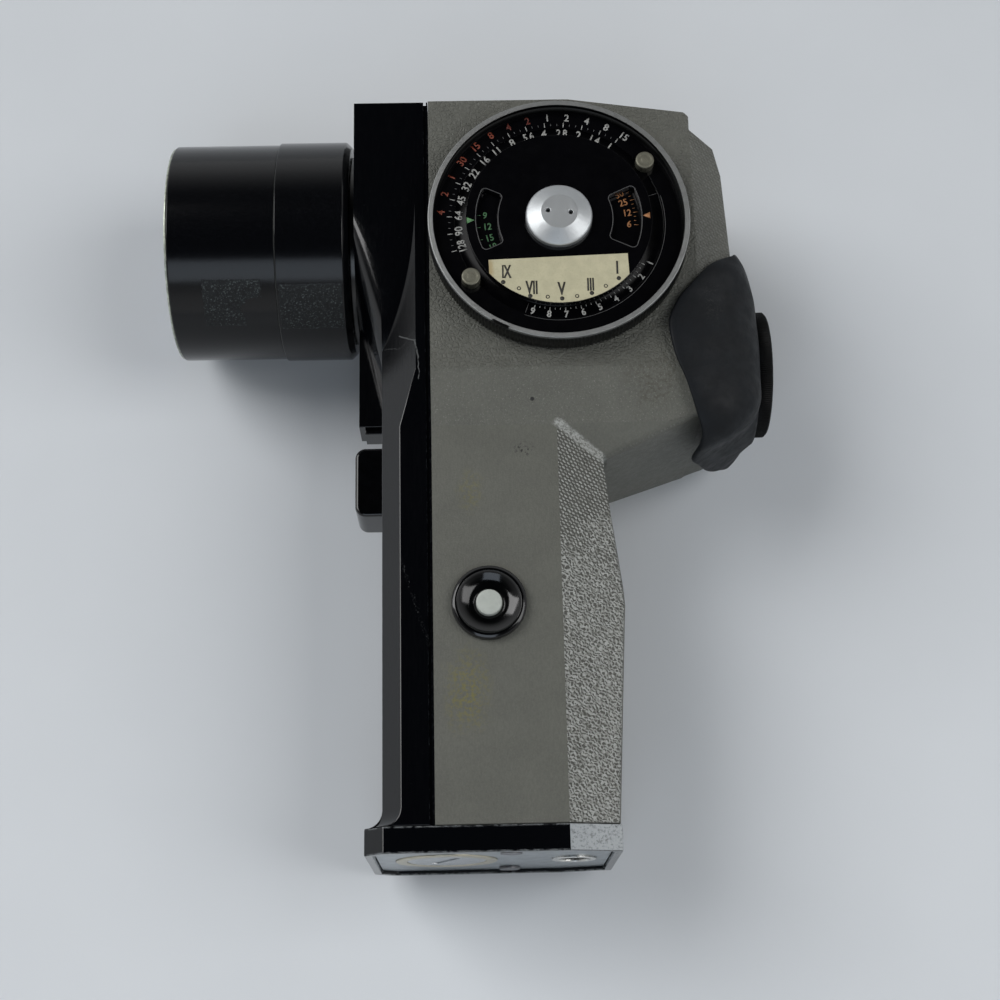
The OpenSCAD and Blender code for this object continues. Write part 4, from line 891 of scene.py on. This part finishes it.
def mark_z(top, gap=0.005):
    """Height of the middle of marks that lie that far above a surface."""
    return top + MARK_H / 2 + gap


def glyph(bm, text, size, point, turn, weight, squeeze):
    """Adds a thin raised number, centred on a point and turned by degrees."""
    curve = bpy.data.curves.new("glyph", "FONT")
    curve.body = text
    curve.size = size
    curve.align_x = curve.align_y = "CENTER"
    curve.extrude = MARK_H / 2
    curve.offset = weight
    curve.resolution_u = 3
    add_curve(bm, curve, Matrix.Translation(point) @ Matrix.Rotation(math.radians(turn), 4, "Z")
              @ Matrix.Diagonal((squeeze, 1, 1, 1)))


def prism(bm, outline):
    """Adds a flat raised shape with that outline in x and y."""
    low, high = ([bm.verts.new(point + Vector((0, 0, height))) for point in outline]
                 for height in (-MARK_H / 2, MARK_H / 2))
    bm.faces.new(low[::-1])
    bm.faces.new(high)
    for i, vert in enumerate(low):
        j = (i + 1) % len(low)
        bm.faces.new([vert, low[j], high[j], high[i]])


def strip(bm, inner, outer, z, closed=False):
    """Adds a flat raised strip between two lines of as many points each."""
    rows = [[bm.verts.new((p.x, p.y, z + h)) for p in line]
            for line, h in ((inner, -MARK_H / 2), (inner, MARK_H / 2), (outer, MARK_H / 2),
                            (outer, -MARK_H / 2))]
    count = len(inner)
    for i in range(count if closed else count - 1):
        j = (i + 1) % count
        for a, b in zip(rows, rows[1:] + rows[:1]):
            bm.faces.new([a[i], a[j], b[j], b[i]])
    if not closed:
        for end in (0, -1):
            bm.faces.new([row[end] for row in rows])


def tick(bm, r0, r1, degrees, width, z):
    """A short line from one radius to another."""
    side = Vector((*polar(width / 2, math.radians(degrees + 90)), 0))
    a, b = at_dial(r0, degrees, z), at_dial(r1, degrees, z)
    prism(bm, [a - side, b - side, b + side, a + side])


def arc(bm, radius, first, last, width, z):
    """A thin curved line round the dial's centre."""
    steps = int(abs(last - first) / 1.5)
    lines = [[at_dial(r, first + (last - first) * k / steps) for k in range(steps + 1)]
             for r in (radius - width / 2, radius + width / 2)]
    strip(bm, *lines, z)


def add_marks(name, bm, body, colour, slot="dial_black"):
    add_piece(name, bm, body, slot, material="mark_" + colour)


def numbers(bm, texts, places, radius, size, z, weight, turn=-90):
    """Numbers at those degrees round the dial, with their feet towards its centre, or away from
    it at a turn of 90."""
    for text, degrees in zip(texts.split(), places):
        glyph(bm, text, size, at_dial(radius, degrees, z), degrees + turn, weight, 0.92)


def make_ring_marks():
    """Exposure times, their ticks and the frame of the lower scale, on the outer ring."""
    z = mark_z(RING_TOP)
    white, red, dim_red, dim, lines = (bmesh.new() for _ in range(5))
    numbers(white, "1 2 4 8 15", (93.9, 84.2, 74, 63.8, 53.8), 24.4, 2.3, z, 0.05)
    numbers(red, "8 15 30 1 2 4", (123.9, 133.9, 144.1, 154.1, 163.9, 174.1), 24.55, 2.3, z, 0.05)
    numbers(dim_red, "2 4", (103.9, 114), 24.4, 2.3, z, 0.045)
    for k in range(43):
        degrees = 55.6 + 3.35 * k
        if k % 3 == 0:
            tick(white, 22.2, 23.3, degrees, 0.17, z)
        else:
            tick(dim, 22.5, 23, degrees, 0.13, z)
    arc(lines, 22.25, -110, 15, 0.1, z)
    add_marks("ring_numbers_white", white, "dial_ring", "white")
    add_marks("ring_numbers_red", red, "dial_ring", "red")
    add_marks("ring_numbers_dim_red", dim_red, "dial_ring", "dim_red")
    add_marks("ring_ticks_dim", dim, "dial_ring", "dim")
    add_marks("ring_lines", lines, "dial_ring", "faint")


def make_rim_marks():
    """Aperture numbers and the lower scale, on the rim below the plate."""
    z = mark_z(RIM_TOP)
    white, lines = bmesh.new(), bmesh.new()
    places = (57.1, 67, 76.6, 86.4, 96.7, 106, 116.2, 126.8, 136.3, 146.4, 155.8, 165.3, 175,
              184.9, 194.6)
    for text, degrees in zip("1 1.4 2 2.8 4 5.6 8 11 16 22 32 45 64 90 128".split(), places):
        squeeze = (0.95, 0.9, 0.8)[len(text) - 1]
        glyph(white, text, 2.4, at_dial(20.75, degrees, z), degrees - 90, 0.05, squeeze)
    majors = (-30, -39.8, -49.7, -59.3, -68.9, -78.2, -87.6, -96.9, -106)
    foot = 19.45
    for degrees in majors:
        tick(white, foot, 20.2, degrees, 0.18, z)
    for degrees, after in zip(majors, majors[1:]):
        for part in (1, 2):
            tick(white, foot, 19.9, degrees + (after - degrees) * part / 3, 0.12, z)
    places = (-27.5, -37.4, -47.5, -57.4, -67.8, -77.6, -87.3, -97, -106.4)
    numbers(white, "1 2 3 4 5 6 7 8 9", places, 21.02, 2.05, z, 0.055, 90)
    for degrees in (16.7, -110):
        tick(lines, 19.5, 21.7, degrees, 0.1, z)
    add_marks("rim_numbers", white, "dial_disc", "white")
    add_marks("rim_lines", lines, "dial_disc", "faint")


def make_plate_marks():
    """Window frames and pointers, on the plate."""
    z = mark_z(DISC_TOP)
    bm = bmesh.new()
    for window in WINDOWS:
        strip(bm, *(window_points(*window, grow) for grow in (0.12, 0.26)), z, True)
    add_marks("window_frames", bm, "dial_disc", "faint")
    for colour, corners in (("green", ((17.45, 181), (19.15, 178.9), (19.15, 183.1))),
                            ("orange", ((17.4, 0.5), (18.95, -1.4), (18.95, 2.8)))):
        bm = bmesh.new()
        prism(bm, [at_dial(*corner, z) for corner in corners])
        add_marks("disc_pointer_" + colour, bm, "dial_disc", colour)


def make_film_marks():
    """Film speed numbers that show through the windows."""
    z = mark_z(span("film_speed_disc")[1].z)
    green, orange = bmesh.new(), bmesh.new()
    for bm, text, radius, degrees, turn in (
            (green, "9", 15.4, 174.8, -180), (green, "12", 14.9, 184.5, -180),
            (green, "15", 14.9, 194.6, -180), (green, "18", 14.9, 203, -180),
            (orange, "50", 14.1, 24.5, 0), (orange, "25", 14.2, 15.9, 0),
            (orange, "12", 14.4, 6, 0), (orange, "6", 14.7, -4.2, 0)):
        glyph(bm, text, 2.1, at_dial(radius, degrees, z), degrees + turn, 0.045, 0.9)
    for degrees in (174.7, 184.4, 194.2):
        tick(green, 16.3, 17, degrees, 0.12, z)
    for k in range(10):
        tick(orange, 15.7, 16.2 if k % 3 else 16.7, 26.7 - 3.43 * k, 0.11, z)
    add_marks("film_numbers_green", green, "dial_ring", "dim_green")
    add_marks("film_numbers_orange", orange, "dial_ring", "orange")


def make_card_marks():
    """Roman numbers, dots and small circles on the card."""
    z = mark_z(span("scale_card")[1].z, 0.003)
    bm = bmesh.new()
    for text, x, y, size, squeeze in (
            ("IX", -11.2, -12.35, 3.9, 0.5), ("VII", -6, -16, 4, 0.55),
            ("V", 0.05, -16.35, 3.9, 0.62), ("III", 6, -15.5, 3.8, 0.55),
            ("I", 11.6, -11.8, 3.9, 0.62)):
        glyph(bm, text, size, Vector((DIAL.x + x, DIAL.y + y, z)), 0, 0.13, squeeze)
    for x, y in ((-11.86, -14.55), (-6.4, -17.74), (0.09, -18.4), (6.19, -17.31), (11.82, -14.08)):
        prism(bm, circle(Vector((DIAL.x + x, DIAL.y + y, 0)), 0.46, z=z))
    for degrees in (-60, -80, -99, -118.5):
        strip(bm, *(circle(at_dial(18.2, degrees), r) for r in (0.25, 0.43)), z, True)
    add_marks("card_marks", bm, "dial_disc", "ink", "card_cream")


# ---- eyepiece

# Free edge of the folded eyecup: angle round the eyepiece from the top towards the dial side,
# distance behind the rear face, radius beyond the head's half thickness, swell
CUP_EDGE = (
    (0, 1.7, -3.2, 0.05), (30, 2.0, -0.4, 0.25), (48, 1.0, 4.0, 0.55), (58, -4.4, 5.0, 0.9),
    (67, -8.4, 4.0, 0.8), (76, -12, 2.9, 0.8), (88, -13.9, 2.5, 0.85), (100, -13.2, 2.7, 0.85),
    (114, -10.9, 3.7, 0.95), (126, -9.1, 5, 1.1), (136, -7.6, 5.6, 0.8), (152, -8.6, 2.4, 0.2),
    (168, -6.5, -1.4, 0.1), (185, -4.6, -3, 0.05), (205, -1, -3.4, 0.15), (225, 2.2, -2.2, 0.4),
    (250, 2.4, -0.9, 0.6), (270, 2.4, -1, 0.6), (300, 2.4, -0.9, 0.6), (330, 2.1, -2.2, 0.3),
    (360, 1.7, -3.2, 0.05),
)
CUP_WALL = 1.15
HEAD_HALF = COVER_HIGH.z - MID_Z
REAR_X = COVER_HIGH.x
RING_X, RING_END = (corner.x for corner in span("focus_ring"))


def slope_at(i, k):
    """Slope of the edge table at row i, without overshoot."""
    rows = CUP_EDGE[:-1]
    before, here, after = (rows[(i + step) % len(rows)] for step in (-1, 0, 1))
    rise, next_rise = ((b[k] - a[k]) / ((b[0] - a[0]) % 360)
                       for a, b in ((before, here), (here, after)))
    return 2 * rise * next_rise / (rise + next_rise) if rise * next_rise > 0 else 0


def edge_at(angle, k):
    """Column k of the edge table at any angle, along a smooth curve through its rows."""
    i = max(j for j in range(len(CUP_EDGE) - 1) if CUP_EDGE[j][0] <= angle)
    a, b = CUP_EDGE[i], CUP_EDGE[i + 1]
    wide = b[0] - a[0]
    s = (angle - a[0]) / wide
    return (a[k] * (1 + 2 * s) * (1 - s) ** 2 + b[k] * s * s * (3 - 2 * s)
            + slope_at(i, k) * wide * s * (1 - s) ** 2
            - slope_at(i + 1, k) * wide * s * s * (1 - s))


def cup_skin(angle, t):
    """Point of the cup's skin, (distance behind the rear face, radius), t from 0 to 1."""
    back = Vector((RING_X - REAR_X + 0.6, 15.2))
    edge = Vector((edge_at(angle, 1), HEAD_HALF + edge_at(angle, 2)))
    turn = t * math.pi / 2
    bend = Vector((edge.x + (back.x - edge.x) * math.cos(turn),
                   back.y + (edge.y - back.y) * math.sin(turn)))
    return back.lerp(edge, t).lerp(bend, edge_at(angle, 3))


def make_eyecup():
    """The cup's wall, round at its free edge and closed by a collar round the eyepiece."""
    steps, rows, lip, near = 216, 22, 6, 0.02
    collar, collar_r = RING_X - REAR_X - 0.3, 11.1
    inside = 2.15
    bm = bmesh.new()
    rings = []
    for k in range(steps):
        angle = 360 * k / steps
        skin = []
        for j in range(rows + 1):
            t = j / rows
            ahead = cup_skin(angle, t + near) - cup_skin(angle, t - near)
            skin.append((cup_skin(angle, t), Vector((-ahead.y, ahead.x)).normalized()))
        end, side = skin[-1]
        out = Vector((side.y, -side.x))
        turn = math.radians(angle)
        thick = CUP_WALL + 0.25 * math.sin(turn * 5 + 1)
        outline = [Vector((collar, collar_r)), Vector((collar, 14))]
        outline += [point for point, _ in skin]
        for j in range(1, lip):
            a = math.pi * j / lip
            outline.append(end + side * thick / 2 * (1 - math.cos(a))
                           + out * thick / 2 * math.sin(a))
        outline += [point + side * (CUP_WALL + (thick - CUP_WALL) * j / rows)
                    for j, (point, side) in enumerate(skin)][::-1]
        outline += [Vector((inside, 13.8)), Vector((inside, collar_r))]
        rings.append([bm.verts.new(on_axis("X", EYE, REAR_X + p.x, p.y, turn)) for p in outline])
    join(bm, rings)
    add_piece("eyecup_rubber", bm, "body", "rubber_dark", ["eyecup"], sharp=50)


def make_focus_ring():
    lip_r, bore_r, r = 8.4, 11.05, 13.7
    floor = RING_END - 1.6
    profile = [(RING_X, bore_r), (RING_X, r - 0.35), (RING_X + 0.35, r), (RING_END - 0.45, r),
               (RING_END, r - 0.45), (RING_END, lip_r + 0.3), (RING_END - 0.3, lip_r),
               (floor, lip_r), (floor, bore_r)]
    bm = lathe(bmesh.new(), profile, "X", EYE, ribs=190, depth=0.22)
    add_piece("focus_ring_ribbed", bm, "focus", "ring_black", ["focus_ring"], sharp=25)


# ---- base and other nodes

def make_base():
    low, high = span("battery_collar")
    r, bore = 10.2, 7.95
    turned("collar_ring", "battery_collar", [
        (low.y, bore, 0.15), (low.y, r, 0.25), (high.y, r, 0), (high.y, bore, 0)],
        "Y", (BATTERY.x, BATTERY.z))
    low, high = span("tripod_bush")
    r, floor = 4.5, low.y + 9.1
    thread = zigzag(11, low.y + 0.5, 0.8, 3.2, 3.42, 0.4)
    turned("bush_thread", "tripod_bush", [
        (low.y, r, 0.15), (low.y, 3.35, 0.1), *thread, (floor, 3.3, 0), (floor, 0, 0),
        (high.y, 0, 0), (high.y, r, 0)], "Y", (BUSH.x, BUSH.z), 96)


# Nodes that keep their form and get softened edges of this width in millimetres
SOFTENED = {
    "base_plate": 0.15, "base_screws": 0.12, "battery_cover": 0.2, "cover_screws": 0.12,
    "outer_scale_ring": 0.06, "scale_card": 0.03, "hub_nut": 0.14,
    "lens_mount": 0.15, "eyepiece_tube": 0.15, "ocular_cell": 0.1,
}
SMOOTHED = ("objective_front", "objective_rear", "ocular_lens")


def dress_others():
    for node, width in SOFTENED.items():
        dressed(node + "_dressed", node, (anywhere, width, 2))
    for node in SMOOTHED:
        dressed(node + "_polished", node)


def paint_nodes():
    """Gives every CAD node its material. Those that still show are inside the housing."""
    for node, obj in frame["nodes"].items():
        obj.material_slots[0].material = MATERIALS[SLOTS[node]]


# ---- stage

def make_floor():
    size = 2.5
    mesh = bpy.data.meshes.new("floor")
    corners = [(x * size, y * size, 0) for x, y in ((-1, -1), (1, -1), (1, 1), (-1, 1))]
    mesh.from_pydata(corners, [], [(0, 1, 2, 3)])
    g = Graph("floor_paper", 0.2, (0.655, 0.68, 0.705))
    g.paint((0.675, 0.7, 0.725), g.span(g.noise(60), 0.3, 0.7))
    # Painted shade: the paper is painted darker towards +y, as if less light reached it there
    g.paint((0.3, 0.32, 0.34), g.span(g.coordinate(1), -110, 130, 0, 0.16))
    g.bump(g.noise(0.5), 0.01)
    mesh.materials.append(g.finish(0.7))
    floor = new_object("floor", mesh)


def add_lamp(name, place, size, power, colour=(1, 1, 1)):
    """A rectangular lamp that is aimed at the part's origin."""
    lamp = bpy.data.lights.new(name, "AREA")
    lamp.shape = "RECTANGLE"
    lamp.size, lamp.size_y = size
    lamp.energy = power
    lamp.color = colour
    obj = new_object(name, lamp)
    obj.location = place
    obj.rotation_euler = (-Vector(place)).to_track_quat("-Z", "Y").to_euler()


def make_world():
    """Pale near the horizon and dark overhead, so that flat gloss mirrors a dark ceiling."""
    world = bpy.data.worlds.new("studio")
    bpy.context.scene.world = world
    world.use_nodes = True
    nodes, links = world.node_tree.nodes, world.node_tree.links
    back = nodes["Background"]
    place = nodes.new("ShaderNodeTexCoord")
    split = nodes.new("ShaderNodeSeparateXYZ")
    ramp = nodes.new("ShaderNodeValToRGB")
    links.new(place.outputs["Generated"], split.inputs[0])
    links.new(split.outputs["Z"], ramp.inputs[0])
    stops = ramp.color_ramp.elements
    stops[0].position, stops[0].color = 0, (0.76, 0.78, 0.8, 1)
    stops[1].position, stops[1].color = 1, (0.008, 0.009, 0.01, 1)
    for position, level in ((0.3, 0.68), (0.5, 0.35), (0.7, 0.06), (0.85, 0.01)):
        stop = stops.new(position)
        stop.color = (level * 0.97, level * 0.985, level, 1)
    links.new(ramp.outputs[0], back.inputs["Color"])


def make_camera():
    data = bpy.data.cameras.new("camera")
    data.lens = 62.707
    data.clip_start = 0.01
    camera = new_object("camera", data)
    axes = Matrix(((0.99975, 0.01803, -0.01313), (-0.02119, 0.95155, -0.30676),
                   (0.00697, 0.30696, 0.95170)))
    camera.matrix_world = Matrix.Translation((0.00095, -0.11785, 0.37973)) @ axes.to_4x4()
    bpy.context.scene.camera = camera


make_housing()
make_barrel()
make_check()
make_dial()
make_calculator()
make_key_hole_shade()
make_ring_marks()
make_rim_marks()
make_plate_marks()
make_film_marks()
make_card_marks()
make_eyecup()
make_focus_ring()
make_base()
dress_others()
paint_nodes()
make_floor()
make_world()
add_lamp("left_window", (-1.5, 0.72, 1.73), (1.4, 1.6), 34)
add_lamp("right_window", (1.5, -0.1, 1.82), (1.3, 1.5), 20)
add_lamp("low_window", (-0.15, -1.05, 1.18), (0.9, 0.6), 3.2, (0.78, 0.88, 1))
make_camera()
bpy.context.scene.view_settings.view_transform = "Standard"
